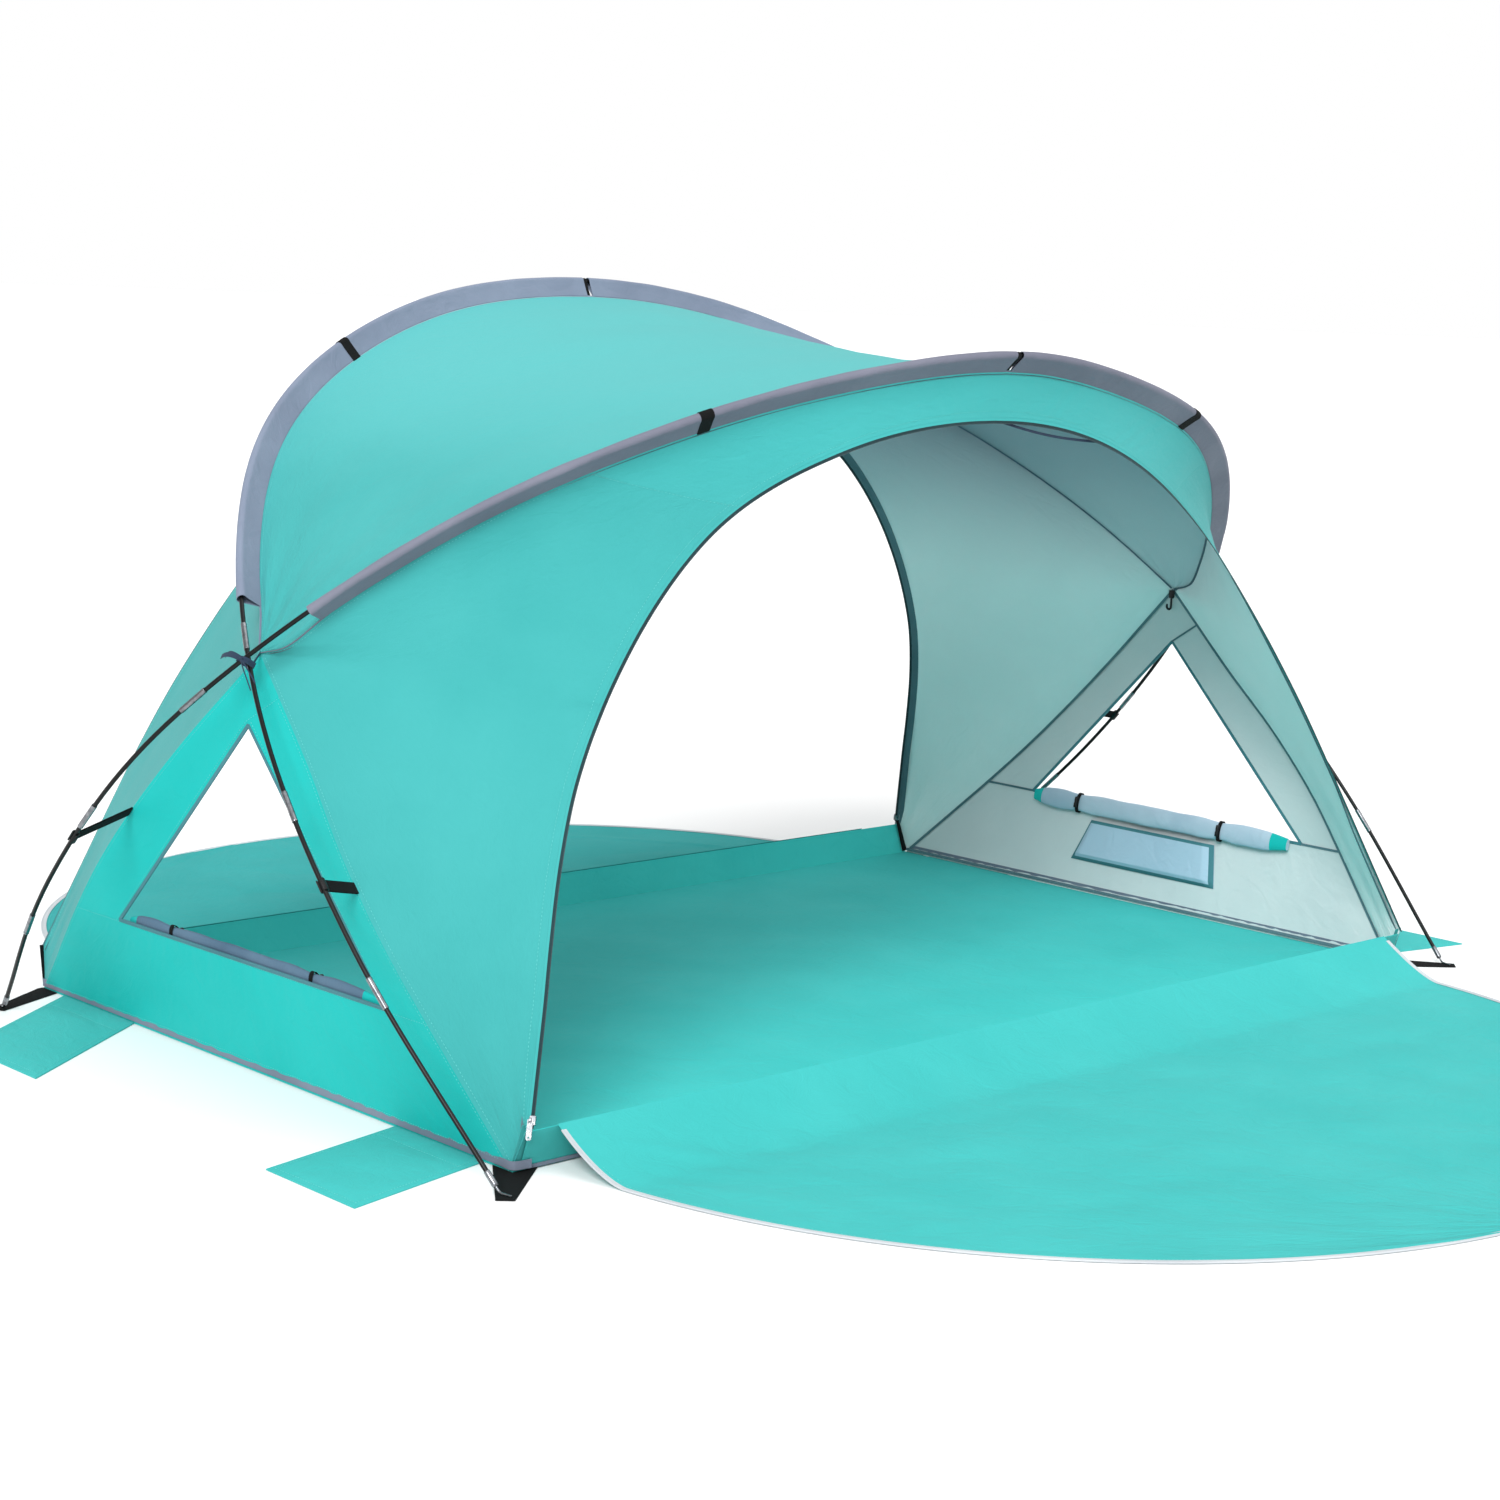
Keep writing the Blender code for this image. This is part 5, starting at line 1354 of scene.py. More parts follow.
# %% [markdown]
# ## Zips
#
# A coil zip is a woven tape with a nylon coil along its edge. The coil repeats thousands of times, so
# Geometry Nodes lay it: one bead is set at every step along a curve and turned along it. The slider
# and its pull come from the CAD part and take steel.
# %% A tree that sets beads along a curve
def bead_tree(name, sides_count, rings_count):
    """Beads along each line of the mesh: pitch apart, and turned along it."""
    tree = bpy.data.node_groups.new(name, "GeometryNodeTree")
    face = tree.interface
    face.new_socket("Geometry", in_out="INPUT", socket_type="NodeSocketGeometry")
    for label, value in (("Pitch", 0.006), ("Radius", 0.0004), ("Length", 0.004)):
        face.new_socket(label, in_out="INPUT", socket_type="NodeSocketFloat").default_value = value
    face.new_socket("Finish", in_out="INPUT", socket_type="NodeSocketMaterial")
    face.new_socket("Geometry", in_out="OUTPUT", socket_type="NodeSocketGeometry")
    nodes, link = tree.nodes, tree.links.new
    source, sink = nodes.new("NodeGroupInput"), nodes.new("NodeGroupOutput")
    curve, steps = nodes.new("GeometryNodeMeshToCurve"), nodes.new("GeometryNodeResampleCurve")
    steps.mode = "LENGTH"
    bead, stretch = nodes.new("GeometryNodeMeshUVSphere"), nodes.new("GeometryNodeTransform")
    bead.inputs["Segments"].default_value, bead.inputs["Rings"].default_value = sides_count, rings_count
    size = nodes.new("ShaderNodeCombineXYZ")
    half = nodes.new("ShaderNodeMath")
    half.operation, half.inputs[1].default_value = "MULTIPLY", 0.5
    tangent, turn = nodes.new("GeometryNodeInputTangent"), nodes.new("FunctionNodeAlignRotationToVector")
    turn.axis = "Z"
    lay, real = nodes.new("GeometryNodeInstanceOnPoints"), nodes.new("GeometryNodeRealizeInstances")
    paint = nodes.new("GeometryNodeSetMaterial")
    link(source.outputs["Geometry"], curve.inputs["Mesh"])
    link(curve.outputs["Curve"], steps.inputs["Curve"])
    link(source.outputs["Pitch"], steps.inputs["Length"])
    bead.inputs["Radius"].default_value = 1.0
    link(source.outputs["Length"], half.inputs[0])
    link(source.outputs["Radius"], size.inputs["X"])
    link(source.outputs["Radius"], size.inputs["Y"])
    link(half.outputs[0], size.inputs["Z"])
    link(bead.outputs["Mesh"], stretch.inputs["Geometry"])
    link(size.outputs[0], stretch.inputs["Scale"])
    link(tangent.outputs[0], turn.inputs["Vector"])
    link(steps.outputs["Curve"], lay.inputs["Points"])
    link(stretch.outputs["Geometry"], lay.inputs["Instance"])
    link(turn.outputs[0], lay.inputs["Rotation"])
    link(lay.outputs["Instances"], real.inputs["Geometry"])
    link(real.outputs["Geometry"], paint.inputs["Geometry"])
    link(source.outputs["Finish"], paint.inputs["Material"])
    link(paint.outputs["Geometry"], sink.inputs["Geometry"])
    return tree


stitch_tree = bead_tree("stitches", 5, 3)
coil_tree = bead_tree("coil", 6, 4)
print("trees:", stitch_tree.name, coil_tree.name)


def laid(name, lines, tree, values, body="root"):
    """Runs a tree on open lines and keeps the result as a plain mesh piece."""
    vertices, edges = [], []
    for line in lines:
        base = len(vertices)
        vertices += [tuple(p) for p in line]
        edges += [(base + k, base + k + 1) for k in range(len(line) - 1)]
    mesh = bpy.data.meshes.new(name + "_lines")
    mesh.from_pydata(vertices, edges, [])
    source = bpy.data.objects.new(name + "_lines", mesh)
    bpy.context.scene.collection.objects.link(source)
    modifier = source.modifiers.new("lay", "NODES")
    modifier.node_group = tree
    for item in tree.interface.items_tree:
        if item.in_out == "INPUT" and item.name in values:
            modifier[item.identifier] = values[item.name]
    depsgraph = bpy.context.evaluated_depsgraph_get()
    made_mesh = bpy.data.meshes.new_from_object(source.evaluated_get(depsgraph))
    source.modifiers.remove(modifier)
    bpy.data.objects.remove(source, do_unlink=True)
    made_mesh.name = name
    made_mesh.shade_smooth()
    print(f"{name}: {len(made_mesh.polygons)} faces")
    return riding(name, made_mesh, body)



# %% [markdown]
# ## Zip tapes and coils
#
# The tape is sewn in beside the doorway's edge. It is dark next to its coil and has a hem outside.
# Both could be one ribbon with a pattern, but two ribbons keep the line between them sharp.
# %% Zip tapes and coils
zip_width = 0.010
zip_hem_start, zip_hem_end, zip_overlap = -0.0085, -0.0010, 0.001
hem_thickness, tape_thickness = 0.0011, 0.0009
zip_gap, zip_set_back, zip_lean, coil_inset = 0.0005, 0.001, 0.002, 0.0006
coil_sizes = {"Pitch": 0.0022, "Radius": 0.0009, "Length": 0.0016, "Finish": coil_plastic}
doorways = {"front": (front_outer_coarse, front_inner_coarse), "rear": (rear_outer_coarse, rear_inner_coarse)}


def zip_lines(outer, inner):
    """The middle line of a tape beside the doorway's edge, with its across and outward directions."""
    way = unit(np.gradient(inner, axis=0))
    across = inner - outer
    knee = np.argmin(np.abs(lengths(inner) - zip_straight))
    across[:knee] = across[knee]
    across = unit(across - way * np.sum(across * way, axis=1, keepdims=True))
    out = np.cross(across, way)
    out = out * np.sign(np.sum(out * -inward(inner), axis=1, keepdims=True))
    lean = np.maximum(0.0, np.sum(inward(inner) * across, axis=1, keepdims=True)) * zip_lean
    lean[:knee + 1] = lean[:knee + 1].max()
    centre = inner + across * (zip_width / 2 + zip_gap + lean) - out * zip_set_back
    return [smooth(line, fineness) for line in (centre, across, out)]


def zips():
    """Each tape is dark to its hem, which has the canopy's shade in front and the binding's behind."""
    half = zip_width / 2
    strips = (zip_hem_start, zip_hem_end, hem_thickness, 1), (zip_hem_end - zip_overlap, half, tape_thickness, 0)
    for prefix, hem_paint in (("front", canopy_cloth), ("rear", binding_cloth)):
        centre, across, _ = zip_lines(*doorways[prefix])
        line, way = whole(centre), unit(whole(across))
        parts = [ribbon_part(line + way * (start + end) / 2, way, end - start, thickness, mark=mark)
                 for start, end, thickness, mark in strips]
        piece(prefix + "_zip_tape", parts, [tape_cloth, hem_paint], "root", (prefix + "_zip",))
        edge = whole(centre + unit(across) * (half - coil_inset))
        laid(prefix + "_zip_coil", [edge], coil_tree, coil_sizes)


zips()

# %% [markdown]
# ## Window rolls
#
# Each window's flap is rolled down and held on the room side of the sill by two toggles, which pinch
# it. A roll could be a long spiral of sheet, but only its outside is seen. So it is a padded tube
# with one step, where the cloth ends, and with soft folds.
# %% Window rolls and their toggles
wall_rest = 0.0026
roll_depth, roll_height, roll_level = 0.011, 0.027, 0.27
roll_rows = ((0.130, 0.58), (0.190, 0.92), (0.250, 1.0), (0.306, 0.84), (0.360, 1.0), (0.430, 0.95),
             (0.505, 1.02), (0.580, 0.95), (0.650, 1.0), (0.703, 0.84), (0.755, 1.0), (0.800, 0.90), (0.835, 0.55))
toggle_stations = {"front": 3, "rear": 9}
toggle_radius, toggle_length = 0.0045, 0.026
toggle_clear = 0.0006
toggle_rings = np.array([-1.0, -0.97, -0.9, -0.55, -0.2, -0.16, 0.16, 0.2, 0.55, 0.9, 0.97, 1.0])
toggle_shape = np.array([0.45, 0.75, 0.93, 1.0, 1.0, 0.86, 0.86, 1.0, 1.0, 0.93, 0.75, 0.45])
roll_steps, roll_sides, roll_ends = 10, 64, 7
roll_lip, lip_sway, lip_pace, roll_step = 5.35, 0.14, 17.0, 0.10
fold_count, fold_depth = 8, 0.06


def wall_frame(level, across):
    """On the left wall: a point, its inward normal and its upward direction."""
    here = wall_point(level, across)
    up = wall_point(level + 0.01, across) - here
    way = unit(wall_point(level, across + 0.01) - here)
    normal = unit(np.cross(way, up))
    normal = normal * np.sign(np.dot(normal, inward(here)))
    return here, normal, unit(up - way * np.dot(up, way))


def window_rolls():
    rows = [(wall_frame(roll_level, across), scale) for across, scale in roll_rows]
    path = smooth([here + normal * (wall_rest + roll_depth) for (here, normal, _), _ in rows], roll_steps)
    ups = smooth([up for (_, _, up), _ in rows], roll_steps)
    scale = smooth([(s, 0.0, 0.0) for _, s in rows], roll_steps)[:, 0]
    turn = np.linspace(0.0, 2 * math.pi, roll_sides + 1)[:-1]
    run = lengths(path)
    rng = np.random.default_rng(91)
    folds = sum(np.sin(turn[None, :] * rng.integers(1, 5) + run[:, None] * rng.uniform(15, 80) + rng.uniform(0, 6))
                / fold_count for _ in range(fold_count))
    lip = roll_lip + lip_sway * np.sin(run * lip_pace)
    wound = 1.0 - roll_step + roll_step * ((lip[:, None] - turn[None, :]) % (2 * math.pi)) / (2 * math.pi)
    section = np.stack([roll_depth * np.cos(turn), roll_height * np.sin(turn)], axis=1)
    sections = section[None] * (wound * (1.0 - fold_depth * (1.0 + folds)))[..., None] * (1.0, 0.97)
    body = tube_part(path, ups, sections, scale)
    tube_marks = body[2][:(len(path) - 1) * len(turn)].reshape(-1, len(turn))
    tube_marks[:roll_ends] = tube_marks[-roll_ends:] = 1
    for side, place in sides.items():
        # The left roll takes a darker copy of the roll cloth: painted shade.
        paint = roll_cloth if side == "right" else roll_outside
        made = piece(f"window_roll_cloth_{side}", [place(body)], [paint, side_cloth], "root",
                     (f"window_roll_{side}",))
    print("rolls:", round(lengths(path)[-1], 3), "m long")


def toggles():
    for place_name, station in toggle_stations.items():
        across, scale = roll_rows[station]
        here, normal, up = wall_frame(roll_level, across)
        stand = wall_rest + roll_depth * (1.0 + scale) + toggle_radius * math.cos(math.pi / 8) + toggle_clear
        line = here + normal * stand + up * (toggle_length / 2 * toggle_rings)[:, None]
        body = tube_part(line, normal, circle(toggle_radius, 20), toggle_shape)
        for side, place in sides.items():
            piece(f"toggle_barrel_{place_name}_{side}", [place(body)], [plastic], f"toggle_{place_name}_{side}",
                  (f"toggle_{place_name}_{side}",))
    print("toggles:", len(sides) * len(toggle_stations))


window_rolls()
toggles()

# %% [markdown]
# ## Storage pocket
#
# The patch pocket is sewn to the right wall at its sides and bottom. It could be a thin box. A grid
# over the wall that stands off only between its seams meets the wall softly.
# %% Storage pocket
pocket_low, pocket_high = 0.095, 0.225
pocket_front, pocket_rear = 0.33, 0.655
pocket_depth = 0.016
pocket_rows, pocket_columns, pocket_waves = 41, 81, 6
pocket_rise, pocket_bulge = ((0.0, 0.15, 1.0), (0.0, 1.0, 1.0)), ((0.0, 0.06, 0.94, 1.0), (0.0, 1.0, 1.0, 0.0))


def storage_pocket():
    """A patch pocket on the right wall, sewn at its sides and bottom, and open at its top."""
    u, v = np.linspace(0.0, 1.0, pocket_columns), np.linspace(0.0, 1.0, pocket_rows)
    stand = np.interp(u, *pocket_bulge)[None, :] ** 0.8 * np.interp(v, *pocket_rise)[:, None] ** 0.8
    rng = np.random.default_rng(95)
    wave = sum(np.sin(u[None, :] * rng.uniform(3, 12) + v[:, None] * rng.uniform(1, 5) + rng.uniform(0, 6)) / 5
               for _ in range(pocket_waves))
    stand = pocket_depth * stand * (0.94 + 0.05 * wave)
    grid, backs = [], []
    for i, level in enumerate(pocket_low + (pocket_high - pocket_low) * v):
        for j, across in enumerate(pocket_front + (pocket_rear - pocket_front) * u):
            here, normal, _ = wall_frame(level, across)
            grid.append(here + normal * (wall_rest + stand[i, j] + cloth_thickness))
            backs.append(-normal)
    shape = (len(v), len(u), 3)
    part = sheet_part(np.array(grid).reshape(shape), np.array(backs).reshape(shape))
    rim = np.ones((len(v) - 1, len(u) - 1), bool)
    rim[3:-3, 2:-2] = False
    part[2][:rim.size][rim.ravel()] = 1
    part[2][rim.size:2 * rim.size] = 1
    cloth_piece("pocket_cloth_right", turned(part), [pocket_cloth, window_edge_cloth],
                ("storage_pocket_right",))


storage_pocket()

# %% [markdown]
# ## Lantern hook
#
# A J hook for a lantern hangs under the right crossing. A round curve could make it, but the real one
# is moulded flat, so a flat oval runs along a bent line, below a small tab.
# %% Lantern hook
hook_tab, hook_drop, hook_wire, hook_bend, hook_lead = 0.015, 0.046, 0.0056, 0.0085, 0.018
hook_set_in, hook_half_depth, tab_half_depth = 0.0083, 0.0022, 0.0015
bevelled = ((1, -0.6), (1, 0.6), (0.9, 1), (-0.9, 1), (-1, 0.6), (-1, -0.6), (-0.9, -1), (0.9, -1))


def lantern_hook():
    place = mirrored(crossing + inward(crossing) * hook_set_in)
    along, up = np.array([0.0, 1.0, 0.0]), np.array([0.0, 0.0, 1.0])
    radius, low = hook_bend - hook_wire / 2, hook_bend - hook_drop
    angles = np.linspace(math.pi, 2 * math.pi, 19)
    line = np.vstack([[(0.0, -0.6 * hook_lead)], [(0.0, -hook_lead - hook_wire)],
                      np.stack([radius + radius * np.cos(angles), low + radius * np.sin(angles)], axis=1),
                      [(2 * radius, low + hook_wire)]])
    path = place + along * line[:, :1] + up * line[:, 1:]
    flat = circle(1.0, 12) * (0.5 * hook_wire, hook_half_depth)
    wire = tube_part(path, (1.0, 0.0, 0.0), flat, np.r_[0.7, np.ones(len(path) - 2), 0.75])
    tab_line = place + up * np.linspace(0.0, -hook_lead, 7)[:, None]
    tab = tube_part(tab_line, (1.0, 0.0, 0.0), [(hook_tab / 2 * x, tab_half_depth * y) for x, y in bevelled],
                    np.array([0.98, 1, 1, 1, 1, 0.95, 0.8]))
    piece("lantern_hook_plastic", [wire, tab], [plastic], "hook", ("lantern_hook",))
    print("hook wire:", round(lengths(path)[-1], 3), "m long")


lantern_hook()

# %% [markdown]
# ## Bindings inside the room
#
# Bindings cover the raw edges of the seams inside the room. They could be stripes in the lining's
# finish. A thin ribbon along each of the tent's lines has a thickness that catches the light.
# %% Bindings inside the room
binding_thickness = 0.0008
on_face, on_wall, on_floor, on_arch = 0.0042, 0.0026, 0.0030, 0.0040
wide_binding, sill_binding, thin_binding, arch_binding, floor_binding = 0.006, 0.005, 0.004, 0.0035, 0.007
floor_way, floor_seam_level = (0.8, 0.0, 0.6), 0.008
seam_lead = 4


def seam_ribbon(line, width, off, way=None):
    """A ribbon over a seam on the room side, which lies square to the way into the room."""
    into = inward(line) if way is None else np.broadcast_to(way, line.shape)
    tangent = unit(np.gradient(line, axis=0))
    return ribbon_part(line + into * off, np.cross(tangent, into), width, binding_thickness)


def between(start, end, count):
    """A straight line of count points."""
    return np.asarray(start) + (np.asarray(end) - np.asarray(start)) * np.linspace(0.0, 1.0, count)[:, None]


def room_bindings():
    sill_front, sill_rear = front_ridge[seam_row], rear_ridge[seam_row]
    wall_normal = wall_frame(0.3, 0.5)[1]
    beside = between(sill_front, window_front[0], 8), between(window_rear[0], sill_rear, 8)
    floor_edge = between((-half_width, -half_depth, floor_seam_level), (-half_width, half_depth, floor_seam_level), 60)
    parts = [seam_ribbon(front_ridge[1:], wide_binding, on_face), seam_ribbon(rear_ridge[1:], wide_binding, on_face),
             seam_ribbon(between(window_apex, front_ridge[extension_row], 10), thin_binding, on_wall, wall_normal),
             seam_ribbon(floor_edge, floor_binding, on_floor, floor_way)]
    parts += [seam_ribbon(line, sill_binding, on_wall, wall_normal) for line in beside]
    pair("room_binding", parts, [binding_cloth])
    arches = [seam_ribbon(whole(front_seam[seam_lead:]), wide_binding, on_arch),
              seam_ribbon(whole(rear_seam[seam_lead:]), arch_binding, on_arch)]
    piece("room_binding_arches", arches, [binding_cloth], "root")
    joints = [seam_ribbon(surfaces[prefix + "_side"][0][-1], thin_binding, on_wall)
              for prefix in ("front", "rear")]
    pair("room_binding_joints", joints, [binding_cloth])
    print("bindings over", 2 * (len(parts) + len(joints)) + len(arches), "seams")


room_bindings()

# %% [markdown]
# ## Sleeve seams
#
# Where a sleeve is sewn on, the edges of the cloth stand into the room as a narrow web. It closes the
# gap that would show between the roof and the face.
# %% Seams under the sleeves
seam_web_width, seam_web_out = 0.009, 0.003


def sleeve_seams():
    """The seam allowance that joins each sleeve to the roof and the face below it."""
    # The front seam takes the front sleeve's painted shade.
    for prefix, seam, paint in (("front", front_seam, front_sleeve_cloth), ("rear", rear_seam, sleeve_cloth)):
        line = whole(seam[seam_lead:])
        way = inward(line)
        web = ribbon_part(line + way * (seam_web_width / 2 - seam_web_out), way, seam_web_width, binding_thickness)
        piece(prefix + "_sleeve_seam", [web], [paint], "root")
        print(prefix, "sleeve seam:", round(lengths(line)[-1], 2), "m long")


sleeve_seams()

# %% [markdown]
# ## Doorway bindings
#
# A binding runs round each doorway on the room side, patches strengthen its corners, and a ribbon at
# the top can tie up the rolled door. They are flat ribbons as well, set back from the face so that
# none shows outside.
# %% Doorway bindings, corner patches and the door's tie
door_tie_run, door_tie_width, door_tie_sag, door_tie_out = (1.75, 2.13), 0.005, 0.010, 0.004
edge_width, edge_inset, edge_set_back = 0.010, 0.0065, 0.0026
foot_set_back, foot_run, foot_fade = 0.0040, 0.34, 0.10
patch_width, patch_thickness, patch_rise = 0.020, 0.0012, 0.010


def doorway_edge(prefix):
    """The binding along a doorway, set further back near its feet, and the front door's tie."""
    outer, inner = doorways[prefix]
    _, across, out = zip_lines(outer, inner)
    edge, across, out = whole(smooth(inner, fineness)), unit(whole(across)), unit(whole(out))
    from_foot = np.minimum(lengths(edge), lengths(edge[::-1])[::-1])[:, None]
    set_back = edge_set_back + foot_set_back * np.clip((foot_run - from_foot) / foot_fade, 0.0, 1.0)
    parts = [ribbon_part(edge - across * edge_inset - out * set_back, across, edge_width, binding_thickness)]
    if prefix == "front":
        ends = at_length(edge - out * door_tie_out, np.array(door_tie_run))
        share = np.linspace(0.0, 1.0, 30)[:, None]
        tie = ends[0] + (ends[1] - ends[0]) * share
        tie[:, 2:] -= door_tie_sag * np.sin(share * math.pi)
        parts.append(ribbon_part(tie, (0.0, 0.3, 1.0), door_tie_width, binding_thickness, mark=1))
    return parts


def doorway_bindings():
    for prefix, patch_paint, way in (("front", canopy_cloth, -1.0), ("rear", webbing_cloth, 1.0)):
        piece(prefix + "_doorway_binding", doorway_edge(prefix), [binding_cloth, ribbon_cloth], "root")
        low = (-half_width + 0.007, way * (half_depth - 0.003), 0.006)
        high = (-half_width + 0.012, way * (half_depth + sill_lean - 0.003), sill_height + patch_rise)
        patch = ribbon_part(between(low, high, 8), (1.0, 0.0, 0.0), patch_width, patch_thickness)
        pair(prefix + "_corner_patch", [patch], [patch_paint])
    print("doorways are bound on the room side")


doorway_bindings()

# %% [markdown]
# ## Window edges and the walls' foot
#
# A folded binding stiffens the window's cut edges. A flat ribbon would look pasted on, so it has a
# rounded section. A band also covers the seam between each wall and the floor.
# %% Window edges and the walls' foot
foot_level, foot_width, foot_out, foot_thickness = 0.013, 0.014, 0.0026, 0.0014
line_level, line_width, line_out, line_thickness, line_end = 0.0055, 0.006, 0.0035, 0.0010, 0.22
fold_half_thickness, fold_half_width, fold_set_in = 0.0018, 0.0035, 0.0006
fold_profile = ((1, -0.7), (1, 0.7), (0.5, 1), (-0.5, 1), (-1, 0.7), (-1, -0.7), (-0.5, -1), (0.5, -1))


def window_edges():
    """A folded binding for each of the window's three edges."""
    normal = wall_frame(0.4, 0.5)[1]
    edges = [window_front, window_rear, between(window_front[0], window_rear[0], 60)]
    fold = [(fold_half_thickness * x, fold_half_width * y) for x, y in fold_profile]
    return [tube_part(line + normal * fold_set_in, np.cross(unit(np.gradient(line, axis=0)), normal), fold)
            for line in edges]


def foot_bands():
    """The band along the foot of the wall and round its front corner, and the line along the sill."""
    outside = -half_width - foot_out
    corner = smooth([(-half_width + 0.03, -half_depth - 0.010, foot_level),
                     (outside + 0.0002, -half_depth - 0.004, foot_level),
                     (outside, -half_depth + 0.03, foot_level)], 6)
    straight = between((outside, -half_depth + 0.05, foot_level), (outside, half_depth - 0.002, foot_level), 60)
    sill_line = between((-half_width + 0.028, -half_depth - line_out, line_level),
                        (-half_width + line_end, -half_depth - line_out, line_level), 20)
    upright = (0.0, 0.0, 1.0)
    return [ribbon_part(np.vstack([corner, straight]), upright, foot_width, foot_thickness),
            ribbon_part(sill_line, upright, line_width, line_thickness)]


for side, place in sides.items():
    piece("window_binding_" + side, [place(part) for part in window_edges()], [window_edge_cloth], "root")
    piece("wall_foot_binding_" + side, [place(part) for part in foot_bands()], [edge_cloth], "root")
print("windows and the feet of the walls are bound")

# %% [markdown]
# ## Bands and loops
#
# Webbing bands go round the sleeves, and a narrow loop holds the bare rod at the top. Each is the
# sleeve's own outline a little larger or smaller, so it can't cut into the sleeve.
# %% Bands and loops on the sleeves
band_places = {"front": (front_hoop, (1.917, 3.276)), "rear": (rear_hoop, (2.012, 3.436))}
band_width, band_clear, band_thickness = 0.025, 0.0003, 0.0008
loop_width, loop_shift, loop_inset, loop_thickness = 0.008, 0.0035, 0.0010, 0.0009


def sleeve_bands():
    for prefix, (hoop, places) in band_places.items():
        parts = []
        for where in places:
            path = at_length(hoop, where + np.linspace(-band_width / 2, band_width / 2, 9))
            band = sleeve_outline(-band_clear - band_thickness) * 1.02
            parts.append(tube_part(path, -inward(path), band, np.r_[0.985, np.ones(7), 0.985],
                                   bore=sleeve_outline(-band_clear)))
        top = lengths(hoop)[-1] / 2
        path = at_length(hoop, top - loop_shift + np.linspace(-loop_width / 2, loop_width / 2, 5))
        parts.append(tube_part(path, -inward(path), sleeve_outline(loop_inset),
                               bore=sleeve_outline(loop_inset + loop_thickness)))
        piece(prefix + "_sleeve_bands", parts, [webbing_cloth], "root")
        print(prefix, "sleeve bands at", places)


sleeve_bands()

# %% [markdown]
# ## Door hems
#
# Each door ends in the other half of the zip, a pale tape with a bead of coil. The coil could be laid
# by the tree again, but here it is thin and pale, so a round bead looks the same.
# %% Door hems
hem_steps, hem_level = 420, 0.0016
hem_width, hem_inset, hem_rise, hem_depth = 0.009, 0.0040, 0.0006, 0.0008
bead_radius, bead_out, bead_rise = 0.0018, 0.0006, 0.0004


def door_hems():
    """A pale zip half along each door's free edge: a flat tape, and a bead of coil outside it."""
    up = np.array([0.0, 0.0, 1.0])
    for prefix in ("front", "rear"):
        grid = surfaces[prefix + "_door"][0]
        line = np.vstack([grid[1:, 0], grid[-1, 1:-1], grid[1:, -1][::-1]])
        line = line[np.r_[True, np.linalg.norm(np.diff(line, axis=0), axis=1) > 1e-4]]
        line = at_length(line, np.linspace(0.0, lengths(line)[-1], hem_steps))
        line[:, 2] = np.maximum(line[:, 2], hem_level)
        out = np.cross(unit(np.gradient(line, axis=0)), up)
        middle = np.array([0.0, line[:, 1].mean(), 0.0])
        out = out * np.sign(np.sum(out * (line - middle), axis=1, keepdims=True))
        tape = ribbon_part(line - out * hem_inset + up * hem_rise, out, hem_width, hem_depth)
        bead = tube_part(line + out * bead_out + up * bead_rise, up, circle(bead_radius, 8))
        piece(prefix + "_door_hem", [tape, bead], [hem_cloth], prefix + "_door")
    print("door hems ride on their doors")


door_hems()

# %% [markdown]
# ## Loops round the rolls
#
# A webbing loop goes round each roll beneath its toggle. It follows the roll's oval, a little outside
# it.
# %% Loops round the rolls
roll_loop_width, roll_loop_thickness, roll_loop_clear = 0.010, 0.0004, (0.0003, 0.0008)


def roll_loops():
    parts = []
    for station in toggle_stations.values():
        across, scale = roll_rows[station]
        here, normal, up = wall_frame(roll_level, across)
        way = np.cross(up, normal)
        centre = here + normal * (wall_rest + roll_depth)
        turn = np.linspace(0.0, 2 * math.pi, 41)
        a, b = roll_depth * scale + roll_loop_clear[0], roll_height * scale + roll_loop_clear[1]
        ring = centre + np.cos(turn)[:, None] * normal * a + np.sin(turn)[:, None] * up * b
        parts.append(ribbon_part(ring, way, roll_loop_width, roll_loop_thickness))
    pair("roll_loops", parts, [webbing_cloth])
    print("loops hold both rolls")


roll_loops()

# %% [markdown]
# ## Stitches
#
# A row of stitches follows each border at an even distance. The row's line is measured on the
# panel's own surface, and the tree from the zips sets one stitch every few millimetres along it.
# %% Rows of stitches
stitch_lift = 0.0003
stitch_sizes = {"Pitch": 0.0065, "Radius": 0.0005, "Length": 0.0042, "Finish": thread}


def border_row(name, border, distance):
    """A line on a noted surface, at a distance from its first or last row or column."""
    grid, into = surfaces[name]
    grid = grid - into * stitch_lift
    if border in ("left", "right"):
        grid = np.swapaxes(grid, 0, 1)
    if border in ("last", "right"):
        grid = grid[::-1]
    return np.array([at_length(grid[:, j], distance) for j in range(grid.shape[1])])


def stitch(name, lines, body="root"):
    """A stitch every few millimetres along each line."""
    laid(name, lines, stitch_tree, stitch_sizes, body)


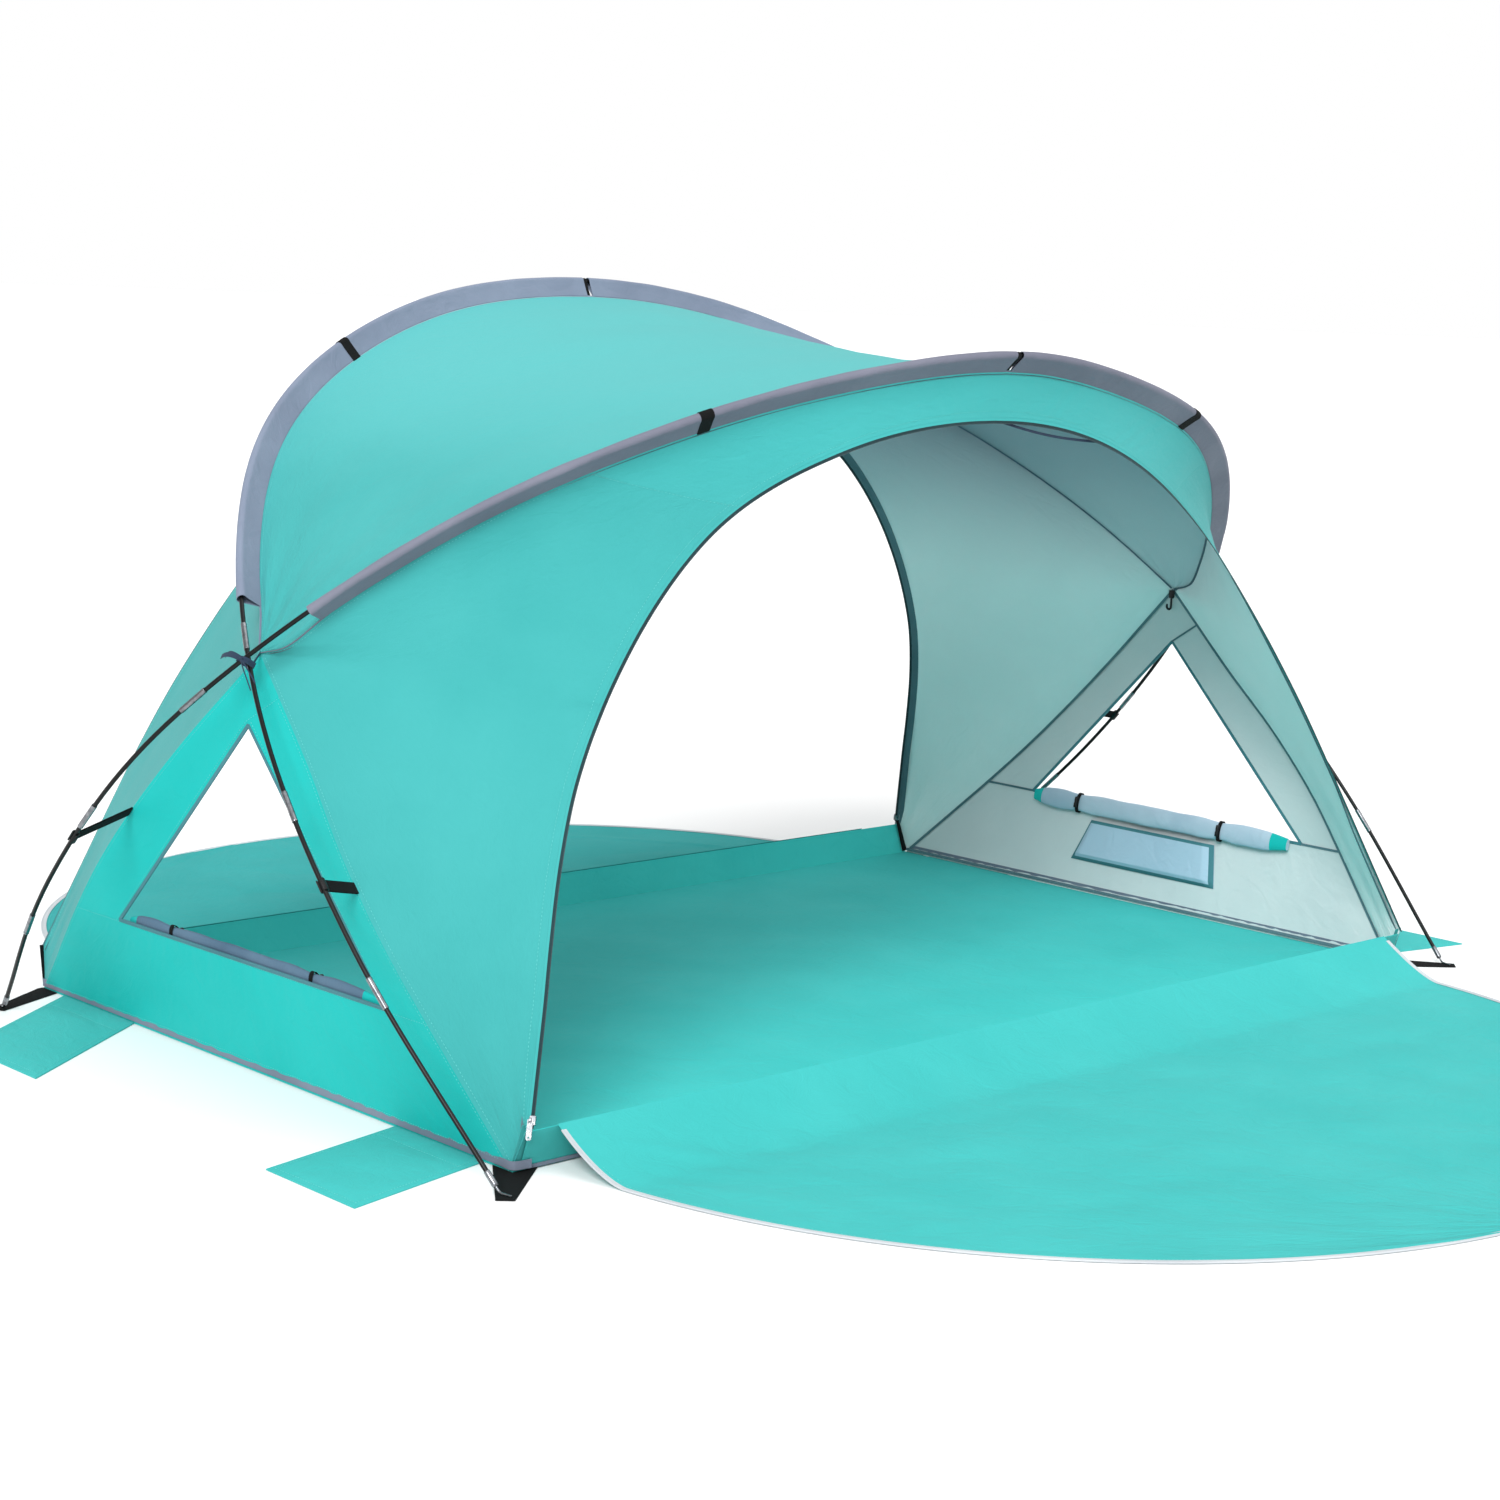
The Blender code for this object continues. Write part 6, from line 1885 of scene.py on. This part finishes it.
def both(lines):
    """The lines and their mirror images."""
    return lines + [mirrored(line) for line in lines]


face_rows = (("left", 0.008), ("right", 0.012), ("last", 0.003))
stitch("roof_stitches", [border_row("roof", border, 0.008) for border in ("left", "right")])
for prefix in ("front", "rear"):
    side_rows = [border_row(prefix + "_side", *row) for row in face_rows]
    centre_rows = [border_row(prefix + "_centre", *row) for row in face_rows[:2]]
    stitch(prefix + "_face_stitches", both(side_rows) + centre_rows)
wall_rows = (("lower", "first", 0.018), ("lower", "last", 0.004), ("lower", "left", 0.006), ("lower", "right", 0.006),
             ("front_strip", "right", 0.009), ("front_strip", "left", 0.006), ("rear_strip", "left", 0.006),
             ("rear_strip", "right", 0.009))
stitch("wall_stitches", both([border_row(*row) for row in wall_rows]))
# %% Stitches on the doors and flaps
for prefix in ("front", "rear"):
    rows = [border_row(prefix + "_door", border, 0.016)[8:-6] for border in ("left", "right")]
    rows.append(border_row(prefix + "_door", "last", 0.010)[10:-10])
    stitch(prefix + "_door_stitches", rows, prefix + "_door")
for place_name in flap_sizes:
    grid = surfaces["flap_" + place_name][0] + np.array([0.0, 0.0, stitch_lift])
    rows = [grid[8, 2:-2], grid[-3, 2:-2], grid[2:-2, 2], grid[2:-2, -3]]
    for side in sides:
        lines = rows if side == "left" else [mirrored(line) for line in rows]
        stitch(f"sand_flap_stitches_{place_name}_{side}", lines, f"sand_flap_{place_name}_{side}")

# %% [markdown]
# ## Fittings from the CAD part
#
# The zip sliders, their pulls and the shock cords inside the poles are shown as the CAD part has
# them, so they only take a finish.
# %% Give the carried fittings their finishes
carried = {"_zip_slider": steel, "_zip_pull": steel, "_pole_cord": elastic}


def dress(name, paint):
    """Gives one of the CAD part's meshes a finish in place of its plain one."""
    for made in bpy.data.objects:
        if made.type == "MESH" and made.name.split(".")[0] == name:
            made.data.materials.clear()
            made.data.materials.append(paint)
            print(name, "takes", paint.name)


for prefix in ("front", "rear"):
    for ending, paint in carried.items():
        dress(prefix + ending, paint)
